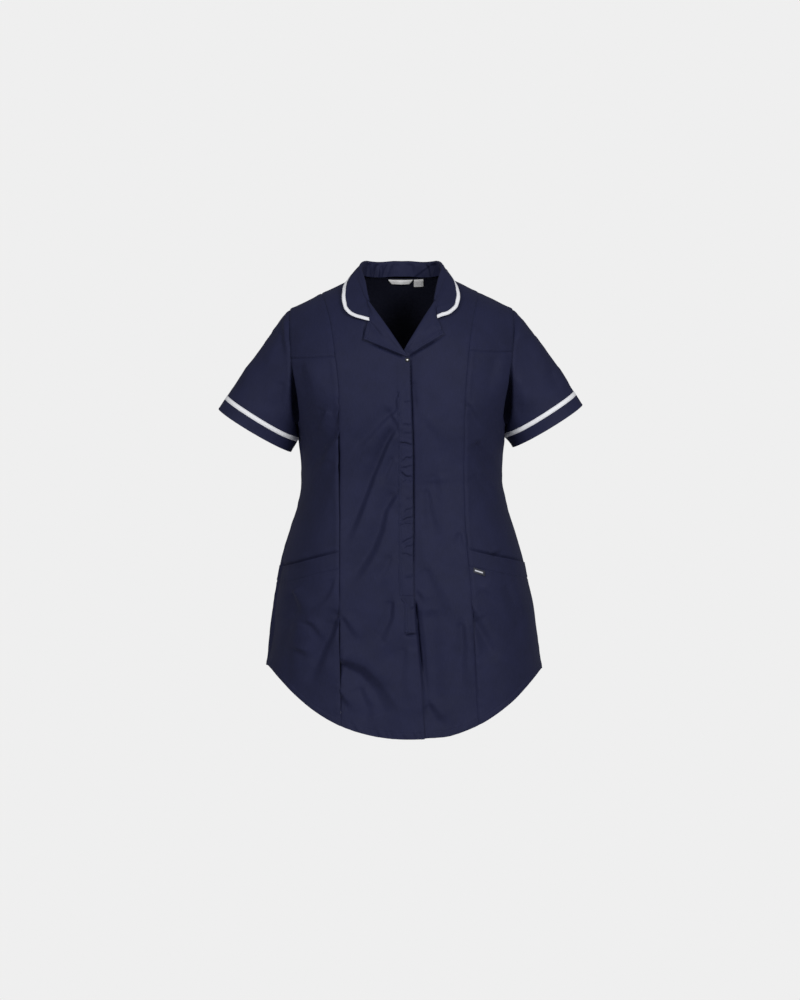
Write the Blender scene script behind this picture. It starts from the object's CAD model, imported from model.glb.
"""Maternity tunic in navy polycotton twill with white tape: its cloth, finishes, lights and camera.

Lengths in the tables are millimetres. The origin lies between the shoulders, +Z is up, -Y is the front and +X is the
wearer's left. Side -1 is the right side, 1 the left one.
"""

import math
from collections import namedtuple

import bmesh
import bpy
import numpy as np
from mathutils import Matrix, Vector


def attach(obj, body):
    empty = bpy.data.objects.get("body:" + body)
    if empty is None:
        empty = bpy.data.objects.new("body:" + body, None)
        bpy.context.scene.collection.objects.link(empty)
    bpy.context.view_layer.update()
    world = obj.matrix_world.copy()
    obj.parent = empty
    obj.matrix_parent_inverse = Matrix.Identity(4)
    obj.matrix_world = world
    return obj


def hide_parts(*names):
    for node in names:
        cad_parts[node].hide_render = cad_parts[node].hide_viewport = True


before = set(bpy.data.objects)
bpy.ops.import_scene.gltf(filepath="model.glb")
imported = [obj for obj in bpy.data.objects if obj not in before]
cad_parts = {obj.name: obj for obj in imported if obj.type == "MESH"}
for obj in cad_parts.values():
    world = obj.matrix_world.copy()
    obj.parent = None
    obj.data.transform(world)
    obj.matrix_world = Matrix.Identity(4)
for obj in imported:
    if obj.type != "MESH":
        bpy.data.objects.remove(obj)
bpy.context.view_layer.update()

bl_info = {
    "name": "Maternity Tunic",
    "version": (1, 0, 0),
    "blender": (4, 5, 0),
    "location": "3D View > Sidebar > Tunic",
    "description": "Makes a short-sleeved maternity tunic with princess seams, hip pockets and white tape",
    "category": "Object",
}

MM = 0.001
QUARTER = math.pi / 2

# The walls that the cloth stands in, and how thick the cloth looks.
CLOTH = 1.6
SEAM_GAP = -0.1
COLLAR_CLOTH = 2.0
TAPE_WIDTH = 7.5
POCKET_LIFT = 1.3
FLY_LIFT = 1.0
TAPE_LIFT = 0.55

# The form: a boxy oval at each height.
Ring = namedtuple("Ring", "height half_width lean front_depth back_depth")
RINGS = (
    Ring(60, 205, 0, 118, 108),
    Ring(0, 207, 0, 128, 112),
    Ring(-60, 209, 0, 136, 116),
    Ring(-140, 205, 0, 146, 118),
    Ring(-200, 189, 0, 151, 114),
    Ring(-240, 173.5, 0, 152, 108),
    Ring(-267, 171, 0, 150, 103),
    Ring(-299, 167.5, 0.2, 147, 99),
    Ring(-330, 167, 0.5, 146, 98),
    Ring(-375, 175, 1.5, 149, 102),
    Ring(-408, 185.5, 1.2, 153, 107),
    Ring(-467, 202.5, 1.2, 159, 116),
    Ring(-531, 214.5, 1.8, 165, 124),
    Ring(-581, 222, 2.5, 168, 129),
    Ring(-639, 228.5, 4, 170, 133),
    Ring(-760, 241, 5, 174, 138),
)
BOXINESS = 0.3

# The shoulders: a sloping ridge that is rounded off between the shoulder-neck points.
SHOULDER_SLOPE = 0.48
SHOULDER_LEVEL_X = 93.5
SHOULDER_ROUNDING = 25
SHOULDER_ROLL = 170
SHOULDER_TIP_X = 186
NECK_X = 69

# Seams and edges: the distance from the middle line at each height.
Seam = namedtuple("Seam", "height x")
PRINCESS = {
    -1: (
        Seam(-20, -133),
        Seam(-39, -126),
        Seam(-76, -116.5),
        Seam(-124, -109),
        Seam(-160, -104.5),
        Seam(-200, -101.5),
        Seam(-270, -100.5),
        Seam(-531, -100.5),
        Seam(-665, -98.5),
        Seam(-760, -97),
    ),
    1: (
        Seam(-18, 129),
        Seam(-60, 119.5),
        Seam(-100, 113),
        Seam(-140, 108.7),
        Seam(-182, 105.3),
        Seam(-238, 102.5),
        Seam(-305, 102),
        Seam(-378, 103.5),
        Seam(-433, 106),
        Seam(-501, 112.5),
        Seam(-604, 117.5),
        Seam(-760, 127),
    ),
}
ARMHOLE = (
    Seam(-43, 186),
    Seam(-83, 185.5),
    Seam(-128, 181.5),
    Seam(-178, 178.5),
    Seam(-215, 175),
    Seam(-240, 172),
)
UNDERARM = -240
YOKE_HEIGHT = {-1: -130, 1: -119}
NECK_EDGE = (Seam(11.3, 69), Seam(6.4, 66.5), Seam(-2, 62), Seam(-12.4, 58), Seam(-38, 53))
V_POINT = Seam(-122.5, 4)
CLOSING_EDGE = (
    Seam(-122.5, 4),
    Seam(-128.5, 9.8),
    Seam(-137, 13.2),
    Seam(-182, 13.8),
    Seam(-216, 15.6),
    Seam(-300, 17.8),
    Seam(-460, 18.4),
    Seam(-528, 20),
    Seam(-574, 23),
    Seam(-622, 28.5),
    Seam(-664, 32.5),
    Seam(-749, 37.5),
)
OVERLAP = 28
OVERLAP_BLEND = 16
OVERLAP_MARGIN = 4
OVERLAP_SINK = 2.5
BACK_NECK_HEIGHT = 13.5

# The shirt-tail hem: its lowest height, and its rise to each side seam and up to a princess seam.
HEM_LOW = -748.5
HEM_RISE = {-1: 108.5, 1: 103}
HEM_POWER = {-1: 2.17, 1: 2.24}
HEM_MIDDLE_X = 14
HEM_SEAM_RISE = 20
HEM_BAND = 11
HEM_ROW = HEM_BAND - 1.2

# Pockets: their slanted tops, the depth of their top band, and the small tab.
POCKET_TOP = {-1: (Seam(-449, -101), Seam(-473, -204)), 1: (Seam(-445, 108), Seam(-468, 206))}
POCKET_BAND = 27
POCKET_TAB = (125.5, -480)
POCKET_TAB_SIZE = (19, 8)
POCKET_TAB_SLANT = -0.33

# The fly strip: its inner edge steps in above its low end. The stud sits over its top.
FLY_INNER = (Seam(-143, -7), Seam(-250, -6.5), Seam(-400, -6), Seam(-519, -5), Seam(-529, 2.5), Seam(-577, 4))
FLY_TOP = -143
FLY_BOTTOM = -577
FLY_BOX = -520
FLY_FLAT = -182
STUD_AT = (9.5, -137)
STUD_RADIUS = 3.6

# Lapels: the roll line's top, its low end at the neck opening's point, the lower end, the gorge's end and the lapel's
# point, as (x, height).
Lapel = namedtuple("Lapel", "roll_top roll_low low_end gorge_end tip")
LAPEL = {
    -1: Lapel((-54, -38), (5, -124), (10.5, -132.5), (-52.4, -74), (-60, -104.5)),
    1: Lapel((54, -38), (2.5, -123), (7, -133), (57.5, -70.5), (67, -96)),
}
LAPEL_TURN = 0.88

# Sleeves: the cuff's outer and inner corners, as (x, height), and how strongly the cloth leaves and arrives.
Cuff = namedtuple("Cuff", "outer_x outer_height inner_x inner_height top_pull")
CUFFS = {-1: Cuff(-305, -211, -187, -281, 50), 1: Cuff(302, -204, 188.5, -273, 42)}
CUFF_HALF_DEPTH = 54
CUFF_BOW = 6
UNDERARM_TUCK = 3.5
SLEEVE_HEM = 20
SLEEVE_UNDER_PULL = 30
SLEEVE_CUFF_PULL = 95
# How strongly the very underside leaves the armhole, straight down, and arrives at the cuff.
UNDERARM_LEAVE = 85
UNDERARM_ARRIVE = 75
# Rows of points across the cuff's tape and its hem.
CUFF_TAPE_ROWS = 6
CUFF_HEM_ROWS = 12

# The collar, from the middle of its back to its front end. Drops run down the cloth from the shoulder ridge, the
# back's as negative ones.
CollarStation = namedtuple("CollarStation", "share neck_x neck_drop stand")
COLLAR = (
    CollarStation(0.00, 0.0, -85.6, 24.6),
    CollarStation(0.25, 36.0, -65.9, 24.6),
    CollarStation(0.45, 60.0, -31.5, 24.8),
    CollarStation(0.55, 67.0, 0.0, 20.5),
    CollarStation(0.68, 69.2, 45.0, 16.0),
    CollarStation(0.80, 65.2, 75.0, 10.5),
    CollarStation(0.88, 61.4, 98.0, 7.0),
    CollarStation(0.94, 58.6, 120.0, 4.0),
    CollarStation(1.00, 55.4, 142.0, 1.0),
)
# The collar's outer edge: the same behind, and each leaf's own curve in front.
CollarEdge = namedtuple("CollarEdge", "share x drop")
COLLAR_BEHIND = (CollarEdge(0.0, 0, -128), CollarEdge(0.25, 47, -108), CollarEdge(0.45, 72.5, -60))
COLLAR_LEAF = {
    -1: (
        CollarEdge(0.55, 80.5, 8),
        CollarEdge(0.605, 86.8, 44),
        CollarEdge(0.66, 93.2, 74),
        CollarEdge(0.735, 95.3, 109),
        CollarEdge(0.808, 92, 138.5),
        CollarEdge(0.857, 84.5, 156),
        CollarEdge(0.904, 74.3, 169),
        CollarEdge(0.951, 63, 179),
        CollarEdge(1.0, 51, 189),
    ),
    1: (
        CollarEdge(0.55, 76, 8),
        CollarEdge(0.605, 82.2, 46),
        CollarEdge(0.66, 90.6, 78),
        CollarEdge(0.735, 93.6, 108),
        CollarEdge(0.808, 90.3, 135),
        CollarEdge(0.857, 83.8, 150.5),
        CollarEdge(0.904, 75, 163),
        CollarEdge(0.951, 65.5, 172),
        CollarEdge(1.0, 57, 181),
    ),
}
COLLAR_TAPE = 6.4
# Rows of points up the collar's stand, over its roll, down its fall and across its tape.
STAND_ROWS = 18
ROLL_ROWS = 10
FALL_ROWS = 26
COLLAR_TAPE_ROWS = 8
# Crumples down the stand: where each crosses its middle, how wide and deep it is, and how far it leans.
Crumple = namedtuple("Crumple", "x width depth slant")
STAND_CRUMPLES = (
    Crumple(-59, 1.8, -2.4, 3),
    Crumple(-52, 1.4, -2.0, -4),
    Crumple(-44, 1.8, -2.9, 5),
    Crumple(-37, 1.3, -1.6, -3),
    Crumple(-28, 2.2, -1.9, 8),
    Crumple(46, 1.8, -1.8, -6),
    Crumple(56, 1.6, -1.8, 4),
)
COLLAR_NECK_LIFT = 0.6
COLLAR_NECK_SHIFT = (1.0, 1.1)
COLLAR_EDGE_LIFT = 4.6
COLLAR_LEAN = 0.08
COLLAR_ROLL = 1.8
COLLAR_BELLY = 1.0

# Labels inside the back neck: middle, width at the top and bottom, and length.
LABELS = {"neck_label": (-1.5, 42, 30, 6), "size_label": (29.5, 16, 16, 10.5)}
LABEL_GAP = 1.2

# Folds: round troughs (negative depth) and ridges along their points, and creases.
Fold = namedtuple("Fold", "points width depth crease")
# Where the key light comes from, as seen from the front.
KEY_FROM = (0.84, 0.55)
FRONT_FOLDS = (
    # The large ones, which the garment's form has.
    Fold(((-17, -261), (-54, -353), (-92, -446)), 11.5, -2.6, 0),
    Fold(((-13, -369), (-36, -425), (-90, -518)), 12, -2.6, 0),
    Fold(((-104, -560), (-147, -669)), 14, -4.0, 0),
    Fold(((-93, -625), (-9, -688)), 18, -4.0, 0),
    Fold(((-102, -259), (-158, -324)), 18, -4.0, 0),
    Fold(((54, -331), (56, -460)), 20, -3.0, 0),
    Fold(((128, -265), (164, -330)), 18, -4.0, 0),
    Fold(((122, -554), (160, -624)), 14, -3.5, 0),
    Fold(((48, -540), (58, -747)), 15, -6.0, 0),
    # Drag lines from the fly strip down to the right princess seam.
    Fold(((-9, -250), (-22, -272), (-46, -329), (-64, -378), (-77, -412), (-95, -452)), 4.8, -8.0, 1),
    Fold(((-6, -352), (-24, -381), (-31, -412), (-43, -444), (-68, -483), (-93, -517)), 6.4, -8.4, 1),
    Fold(((-13, -221), (-46, -256), (-89, -301)), 5.5, -5.4, 1),
    Fold(((-3, -188), (-8, -201), (-7, -217), (-15, -227), (-6, -243), (-13, -258)), 2.2, -3.6, 1),
    Fold(((-11, -296), (-20, -316), (-30, -340)), 2.8, -3.2, 1),
    Fold(((-14, -455), (-22, -476), (-40, -500)), 3.6, -3.0, 1),
    # The right side panel and its pocket.
    Fold(((-82, -228), (-102, -252), (-128, -284), (-158, -322)), 9.0, -12.0, 1),
    Fold(((-124, -217), (-135, -238), (-146, -260)), 5, -4.2, 1),
    Fold(((-96, -200), (-117, -236)), 4.2, -2.8, 1),
    Fold(((-105, -300), (-121, -352), (-147, -401)), 9, -4.0, 1),
    Fold(((-108, -493), (-115, -514), (-124, -527), (-138, -536), (-154, -545)), 3.6, -3.4, 1),
    Fold(((-158, -561), (-146, -565), (-138, -574), (-131, -587), (-124, -600)), 3.6, -3.2, 1),
    Fold(((-96, -545), (-104, -561), (-112, -584), (-124, -608), (-137, -640), (-147, -672)), 6.6, -10.0, 1),
    Fold(((-186, -513), (-174, -532), (-163, -552)), 6, -6.0, 1),
    Fold(((-178, -606), (-166, -609), (-152, -616)), 3.5, -3.6, 1),
    Fold(((-182, -560), (-190, -606), (-196, -650)), 14, -4.0, 1),
    Fold(((-194, -462), (-200, -560), (-206, -655)), 42, -6.0, 0),
    # The right centre front below the fly strip.
    Fold(((-94, -552), (-78, -576), (-64, -592)), 4.6, -3.2, 1),
    Fold(((-104, -622), (-62, -638), (-36, -667), (-15, -702), (-10, -738)), 9.5, -9.6, 1),
    Fold(((-103, -670), (-80, -702)), 3.6, -4.0, 1),
    Fold(((-13, -525), (-15, -554), (-30, -590), (-56, -603)), 5.2, -6.2, 1),
    Fold(((8, -600), (4, -650), (12, -700)), 6, -3.4, 1),
    Fold(((27, -581), (14, -581), (3, -581)), 1.7, -4.0, 0),
    Fold(((-66, -662), (-50, -696), (-52, -736)), 6, -4.2, 1),
    # The left centre front.
    Fold(((44, -345), (52, -392), (63, -424)), 4.4, -3.8, 1),
    Fold(((58, -320), (62, -372), (56, -452)), 7, -3.4, 1),
    Fold(((96, -417), (99, -441)), 3, -3.4, 1),
    Fold(((100, -560), (103, -600), (101, -676)), 4.4, -5.2, 1),
    Fold(((36, -230), (60, -262), (92, -282)), 6, -1.5, 1),
    Fold(((40, -470), (66, -520), (90, -580)), 7.5, -3.4, 1),
    Fold(((46, -690), (60, -712), (78, -722)), 5.5, -4.8, 1),
    # The left side panel and its pocket.
    Fold(((108, -206), (122, -228), (137, -252)), 4.2, -3.6, 1),
    Fold(((126, -268), (146, -296), (160, -322)), 5.4, -5.0, 1),
    Fold(((122, -317), (146, -345), (160, -376)), 6.6, -3.6, 1),
    Fold(((110, -536), (123, -556), (141, -586), (162, -628)), 4.8, -5.4, 1),
    Fold(((128, -505), (158, -530), (186, -572)), 6, -3.0, 1),
    Fold(((176, -500), (200, -560), (206, -610)), 7, -4.0, 1),
    Fold(((147, -455), (152, -449), (166, -445)), 1.8, -2.6, 1),
    # Below each lapel's low edge.
    Fold(((4, -132.5), (-30, -118.5), (-61, -105.5)), 1.7, -4.6, 0),
    Fold(((13, -131), (40, -114.5), (69, -96.5)), 1.7, -4.6, 0),
    Fold(((-60, -80), (-61.5, -105)), 1.8, -3.0, 0),
    # Below each yoke.
    Fold(((-160, -140), (-150, -176), (-148, -214)), 8, -3.0, 1),
    Fold(((161, -132), (153, -168), (151, -206)), 8, -3.0, 1),
)
# Creases in the lapels, where the cloth breaks below the roll.
LAPEL_FOLDS = {
    -1: (Fold(((-50, -75), (-44.8, -80), (-30.7, -97.7), (-18.6, -108.3)), 2.2, -2.2, 1),),
    1: (Fold(((49, -62), (45, -80), (36, -96)), 3.0, -0.9, 1),),
}
# The left centre front falls away beside the closing edge.
CLOSING_FOLDS = (
    Fold(((14.4, -130), (15, -182), (17, -216), (19, -300), (19.4, -460), (21, -528)), 2.2, -4.0, 0),
    Fold(((18, -172), (20, -196), (22, -222)), 5, -2.6, 0),
    Fold(((23, -528), (26, -560), (28.5, -586), (32, -622), (35.5, -660)), 1.9, -7.0, 0),
    Fold(((27, -540), (34, -604), (39, -662), (42, -705)), 4.5, -4.2, 0),
    Fold(((26, -510), (33, -520), (38, -530)), 3, -2.2, 1),
)
BACK_FOLDS = (
    # The large ones, which the garment's form has.
    Fold(((-150, -275), (-40, -345)), 18, -4.0, 0),
    Fold(((145, -285), (60, -340)), 18, -4.0, 0),
    Fold(((-70, -430), (-105, -747)), 22, -6.0, 0),
    Fold(((10, -480), (5, -747)), 24, -5.0, 0),
    Fold(((85, -440), (110, -747)), 22, -6.0, 0),
    # Creases across the small of the back and down the skirt, and soft drags from the arms.
    Fold(((-148, -268), (-104, -300), (-56, -318), (-20, -322)), 5, -3.4, 1),
    Fold(((146, -262), (110, -296), (70, -316), (30, -330)), 5, -3.6, 1),
    Fold(((-128, -318), (-88, -336), (-42, -341)), 4.4, -2.7, 1),
    Fold(((132, -326), (96, -350), (58, -361)), 4.4, -2.7, 1),
    Fold(((-40, -372), (6, -379), (48, -371)), 5.5, -2.5, 1),
    Fold(((-168, -150), (-140, -196), (-128, -240)), 7, -3.4, 1),
    Fold(((168, -146), (142, -190), (130, -246)), 7, -3.4, 1),
    Fold(((-112, -60), (-96, -110), (-92, -170)), 8, -1.9, 1),
    Fold(((108, -58), (97, -116), (90, -164)), 8, -1.9, 1),
    Fold(((-58, -446), (-72, -540), (-80, -640)), 7, -3.8, 1),
    Fold(((26, -470), (18, -580), (22, -690)), 8, -3.4, 1),
    Fold(((76, -452), (92, -560), (98, -650)), 7, -3.8, 1),
    Fold(((-150, -480), (-162, -560), (-160, -640)), 8, -3.4, 1),
    Fold(((150, -470), (166, -556), (168, -630)), 8, -3.4, 1),
    Fold(((-30, -560), (-38, -660), (-34, -735)), 7, 2.7, 0),
    Fold(((58, -540), (60, -650), (66, -728)), 7, 2.7, 0),
)
# Sleeve folds, in x measured out from the middle line: on the front half and on the back half.
SLEEVE_FOLDS = {
    (-1, True): (
        Fold(((198, -64), (194, -98), (188, -134)), 4.2, -4.2, 1),
        Fold(((206, -84), (222, -118), (242, -156)), 9, -4.2, 1),
        Fold(((190, -170), (198, -206), (214, -232)), 7, -3.4, 1),
        Fold(((262, -140), (268, -172), (280, -196)), 8, -1.9, 1),
    ),
    (-1, False): (
        Fold(((196, -70), (206, -120), (202, -170)), 6, -3.8, 1),
        Fold(((222, -100), (240, -140), (250, -176)), 9, -3.4, 1),
        Fold(((192, -176), (206, -210), (226, -232)), 7, -2.7, 1),
    ),
    (1, True): (
        Fold(((194, -60), (190, -84), (187, -106)), 4.2, -4.2, 1),
        Fold(((214, -90), (224, -130), (228, -168)), 10, -3.0, 1),
        Fold(((252, -146), (262, -164), (270, -182)), 6, -3.4, 1),
        Fold(((190, -164), (197, -200), (212, -226)), 7, -3.4, 1),
    ),
    (1, False): (
        Fold(((194, -66), (204, -116), (200, -166)), 6, -3.8, 1),
        Fold(((224, -104), (238, -138), (252, -172)), 9, -3.4, 1),
        Fold(((192, -170), (206, -204), (224, -226)), 7, -2.7, 1),
    ),
}
# Crinkles across the fly strip: height, depth and slant, and how far from its inner edge each begins.
Crinkle = namedtuple("Crinkle", "height width depth slant begin")
FLY_CRINKLES = (
    Crinkle(-206, 2.8, -1.3, 0.1, 8),
    Crinkle(-244, 2.5, -1.7, -0.1, 6),
    Crinkle(-257, 2.1, -1.3, 0.2, 9),
    Crinkle(-274, 2.5, -4.6, -0.12, 2),
    Crinkle(-299, 2.5, -2.8, 0.35, 5),
    Crinkle(-311, 2.1, -1.9, 0.1, 4),
    Crinkle(-325, 3.2, -4.2, -0.45, 4),
    Crinkle(-335, 2.3, -2.3, 0.1, 7),
    Crinkle(-366, 3.8, -1.3, 0.3, 10),
    Crinkle(-384, 2.8, -2.3, 0.5, 8),
    Crinkle(-397, 2.8, -3.8, 0.25, 5),
    Crinkle(-404, 2.3, -1.9, 0.0, 3),
    Crinkle(-431, 2.8, -3.2, 0.4, 5),
    Crinkle(-443, 2.8, -2.5, 0.45, 9),
    Crinkle(-452, 2.3, -2.1, -0.3, 4),
    Crinkle(-490, 3.8, -1.5, 0.1, 9),
    Crinkle(-541, 2.8, -1.7, 0.2, 9),
)

# How far each side front sags between its seams.
HOLLOW = {-1: 6.0, 1: 3.0}

# How many knots the pattern of soft unevenness has each way before it repeats.
LATTICE = 61

# The stage, in metres: the softboxes with the setting that holds each one's power, the point that they face, and the
# camera's place across and up.
Softbox = namedtuple("Softbox", "name place size power")
SOFTBOXES = (
    Softbox("key_softbox", (1.75, -2.95, 0.9), 1.1, "key_power"),
    Softbox("fill_softbox", (-1.8, -2.9, 0.95), 1.1, "fill_power"),
    Softbox("back_softbox", (0, 3.1, -0.1), 1.0, "back_power"),
)
LIT_MIDDLE = (0, 0, -0.36)
CAMERA_X = -0.00235
CAMERA_HEIGHT = -0.3634


def mix(start, stop, share):
    return start + (stop - start) * share


def ease(value):
    value = np.clip(value, 0.0, 1.0)
    return value * value * (3 - 2 * value)


def bump(distance, width):
    """A soft hump over distance 0."""
    return np.exp(-((distance / width) ** 2))


def unit(vectors):
    return vectors / np.maximum(np.linalg.norm(vectors, axis=-1, keepdims=True), 1e-9)


def smooth_row(table, key):
    """The table's row at each key (its first column), read off a smooth curve that never overshoots a row."""
    rows = np.array(sorted(table), float)
    keys, columns = rows[:, 0], rows[:, 1:]
    key = np.clip(key, keys[0], keys[-1])
    place = np.clip(np.searchsorted(keys, key) - 1, 0, len(keys) - 2)
    secants = np.diff(columns, axis=0) / np.diff(keys)[:, None]
    before, after = secants[:-1], secants[1:]
    together = before * after > 0
    inner = np.where(together, 2 * before * after / np.where(together, before + after, 1.0), 0.0)
    slopes = np.concatenate([secants[:1], inner, secants[-1:]])
    step = (keys[place + 1] - keys[place])[..., None]
    share = (key - keys[place])[..., None] / step
    start, stop = columns[place], columns[place + 1]
    values = start + (stop - start) * ease(share)
    values = values + share * (1 - share) ** 2 * step * slopes[place]
    values = values + share * share * (share - 1) * step * slopes[place + 1]
    return type(table[0])(key, *np.moveaxis(values, -1, 0))


def straight_x(table, height):
    """The table's x at each height, read off straight lines between its rows."""
    rows = np.array(sorted(table), float)
    return np.interp(height, rows[:, 0], rows[:, 1])


def uneven(across, along, size, seed):
    """Soft unevenness from -1 to 1, with lumps of about that size."""
    lattice = np.random.default_rng(seed).uniform(-1, 1, (LATTICE, LATTICE))
    u, v = np.asarray(across) / size, np.asarray(along) / size
    cell_u, cell_v = np.floor(u).astype(int), np.floor(v).astype(int)
    share_u, share_v = ease(u - cell_u), ease(v - cell_v)

    def corner(a, b):
        return lattice[(cell_u + a) % LATTICE, (cell_v + b) % LATTICE]

    low = mix(corner(0, 0), corner(1, 0), share_u)
    return mix(low, mix(corner(0, 1), corner(1, 1), share_u), share_v)


def shoulder_height(x):
    """The height of the shoulder ridge at that distance from the middle."""
    level = math.hypot(SHOULDER_LEVEL_X, SHOULDER_ROUNDING)
    return SHOULDER_SLOPE * (level - np.hypot(x, SHOULDER_ROUNDING))


def drop_to_fall(drop):
    """How far below the ridge the cloth has come at that drop: it rolls over the shoulder and then hangs."""
    angle = np.minimum(drop / SHOULDER_ROLL, QUARTER)
    return SHOULDER_ROLL * (1 - np.cos(angle)) + np.maximum(0.0, drop - SHOULDER_ROLL * QUARTER)


def fall_to_drop(fall):
    """The drop down the cloth that comes to that fall in height below the ridge."""
    rolled = SHOULDER_ROLL * np.arccos(1 - np.clip(fall, 0.0, SHOULDER_ROLL) / SHOULDER_ROLL)
    return rolled + np.maximum(0.0, fall - SHOULDER_ROLL)


def form_point(around, drop):
    """A point of the form. around is 0 at the front middle, 1 at the left side, 2 at the back middle and -1 at the
    right side. drop is measured down the cloth from the shoulder ridge."""
    turn = around * QUARTER
    angle = np.minimum(drop / SHOULDER_ROLL, QUARTER)
    fall = drop_to_fall(drop)
    height = -fall
    for _ in range(4):
        ring = smooth_row(RINGS, height)
        x = ring.lean + ring.half_width * np.sin(turn)
        height = shoulder_height(x) - fall
    depth = np.where(np.cos(turn) > 0, ring.front_depth, ring.back_depth)
    y = -depth * np.cos(turn) * (1 + BOXINESS * np.sin(turn) ** 2) * np.sin(angle)
    return np.stack([x, y, height], axis=-1)


def on_form(x, height, back=False):
    """(around, drop) of the form's point that lies at that x and height, on its front or back."""
    ring = smooth_row(RINGS, height)
    around = np.arcsin(np.clip((x - ring.lean) / ring.half_width, -1.0, 1.0)) / QUARTER
    return np.where(back, 2 - around, around), fall_to_drop(shoulder_height(x) - height)


def off_form(around, drop, lift):
    """A point at that lift off the form."""
    along = form_point(around + 0.002, drop) - form_point(around - 0.002, drop)
    down = form_point(around, drop + 0.5) - form_point(around, drop - 0.5)
    return form_point(around, drop) + unit(np.cross(down, along)) * np.asarray(lift)[..., None]


def folded(folds, x, height, key_side=1):
    """How far the folds move the cloth at each point. A crease is a narrow slope between two bends: it widens along
    its length, turns away from the key light if its depth is negative, and the cloth beside it eases back."""
    lift = np.zeros_like(x)
    for fold in folds:
        points = np.array(fold.points, float)
        steps = np.diff(points, axis=0)
        lengths = np.hypot(steps[:, 0], steps[:, 1])
        begins = np.concatenate([[0.0], np.cumsum(lengths)])
        nearest = np.full(x.shape, np.inf)
        across, along, beyond = np.zeros_like(x), np.zeros_like(x), np.zeros_like(x)
        for place, (start, step, length, begin) in enumerate(zip(points, steps, lengths, begins)):
            off_x, off_height = x - start[0], height - start[1]
            reached = (off_x * step[0] + off_height * step[1]) / length**2
            share = np.clip(reached, 0, 1)
            gap = np.hypot(off_x - share * step[0], off_height - share * step[1])
            beside = (step[0] * off_height - step[1] * off_x) / length
            # Past either end the fold runs straight on, and dies out.
            past = np.maximum(-reached if place == 0 else 0.0, reached - 1 if place == len(steps) - 1 else 0.0)
            past = np.maximum(0.0, past) * length
            closer = gap < nearest
            nearest = np.where(closer, gap, nearest)
            across = np.where(closer, np.where(past > 0, beside, np.sign(beside) * gap), across)
            along = np.where(closer, begin + share * length, along)
            beyond = np.where(closer, past, beyond)
        passed = along / begins[-1]
        strength = fold.depth * ease(passed / 0.1 + 0.35) * mix(0.15, 1.0, ease((1 - passed) / 0.4))
        strength = strength * bump(beyond, 1.5 * fold.width)
        if fold.crease:
            reach = points[-1] - points[0]
            lit = np.sign(-reach[1] * KEY_FROM[0] * key_side + reach[0] * KEY_FROM[1])
            place = -lit * across / (fold.width * mix(0.55, 1.25, passed))
            slope = (np.hypot(place + 1, 0.3) - np.hypot(place - 1, 0.3)) / 2
            lift += 0.6 * strength * slope * bump(np.maximum(np.abs(place) - 1, 0), 3.5)
        else:
            lift += strength * bump(across, fold.width)
    return lift


def sides_blend(left, right, top, bottom):
    """The patch between four edges, each a function of 0 to 1 that gives a pair of values."""

    def patch(s, t):
        ends = [mix(a, b, s) for a, b in zip(left(t), right(t))]
        levels = [mix(a, b, t) for a, b in zip(top(s), bottom(s))]
        corners = [
            mix(mix(a, b, s), mix(c, d, s), t)
            for a, b, c, d in zip(top(0.0), top(1.0), bottom(0.0), bottom(1.0))
        ]
        return tuple(end + level - corner for end, level, corner in zip(ends, levels, corners))

    return patch


def straight_line(start, stop):
    return lambda share: tuple(mix(a, b, share) for a, b in zip(start, stop))


def side_seam_x(side, height):
    ring = smooth_row(RINGS, height)
    return ring.lean + side * ring.half_width


def hem_height(x, back=False):
    """The hem's height: lowest near the closing edge and at the back middle, and highest at the side seams."""
    middle = RINGS[-1].lean if back else HEM_MIDDLE_X
    heights = []
    for side in (-1, 1):
        half = abs(side_seam_x(side, np.array(HEM_LOW + HEM_RISE[side])) - middle)
        share = np.minimum(1.0, np.abs((x - middle) / half))
        heights.append(HEM_LOW + HEM_RISE[side] * share ** HEM_POWER[side])
    return np.where(x < middle, *heights)


def side_seam_end(side):
    """The drop down the cloth at which the side seam meets the hem."""
    height = np.array(HEM_LOW + HEM_RISE[side])
    return on_form(side_seam_x(side, height), height)[1]


def down_edge(x_at, top_drop, bottom_drop, back=False):
    """An edge down the cloth between two drops, at the x that x_at gives for each height."""

    def edge(t):
        drop = mix(top_drop, bottom_drop, np.asarray(t, float))
        height = -drop
        for _ in range(8):
            height = shoulder_height(x_at(height)) - drop_to_fall(drop)
        return on_form(x_at(height), height, back)[0], drop

    return edge


def armhole_x(side):
    return lambda height: side * (smooth_row(ARMHOLE, height).x - SEAM_GAP / 2)


def armhole_narrowing(height):
    """1 along the armhole, and down to 0 where its bottom rounds off to the side seam."""
    tip = shoulder_height(SHOULDER_TIP_X)
    middle, half = (tip + UNDERARM) / 2, (tip - UNDERARM) / 2
    low = np.clip((middle - height) / half, 0.0, 1.0)
    return ease(np.sqrt(1 - low**2) / 0.55)


def outer_edge(side, top_drop, bottom_drop, back=False):
    """An edge down the armhole and then the side seam."""
    armhole = down_edge(armhole_x(side), top_drop, bottom_drop, back)
    nudge = SEAM_GAP / 2 / (RINGS[-1].front_depth * QUARTER)
    seam = side * (1 - nudge) if not back else (1 + nudge if side > 0 else 3 - nudge)

    def edge(t):
        around, drop = armhole(t)
        height = form_point(around, drop)[..., 2]
        on_armhole = np.where(height > UNDERARM, armhole_narrowing(height), 0.0)
        return mix(seam, around, on_armhole), drop

    return edge


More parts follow.
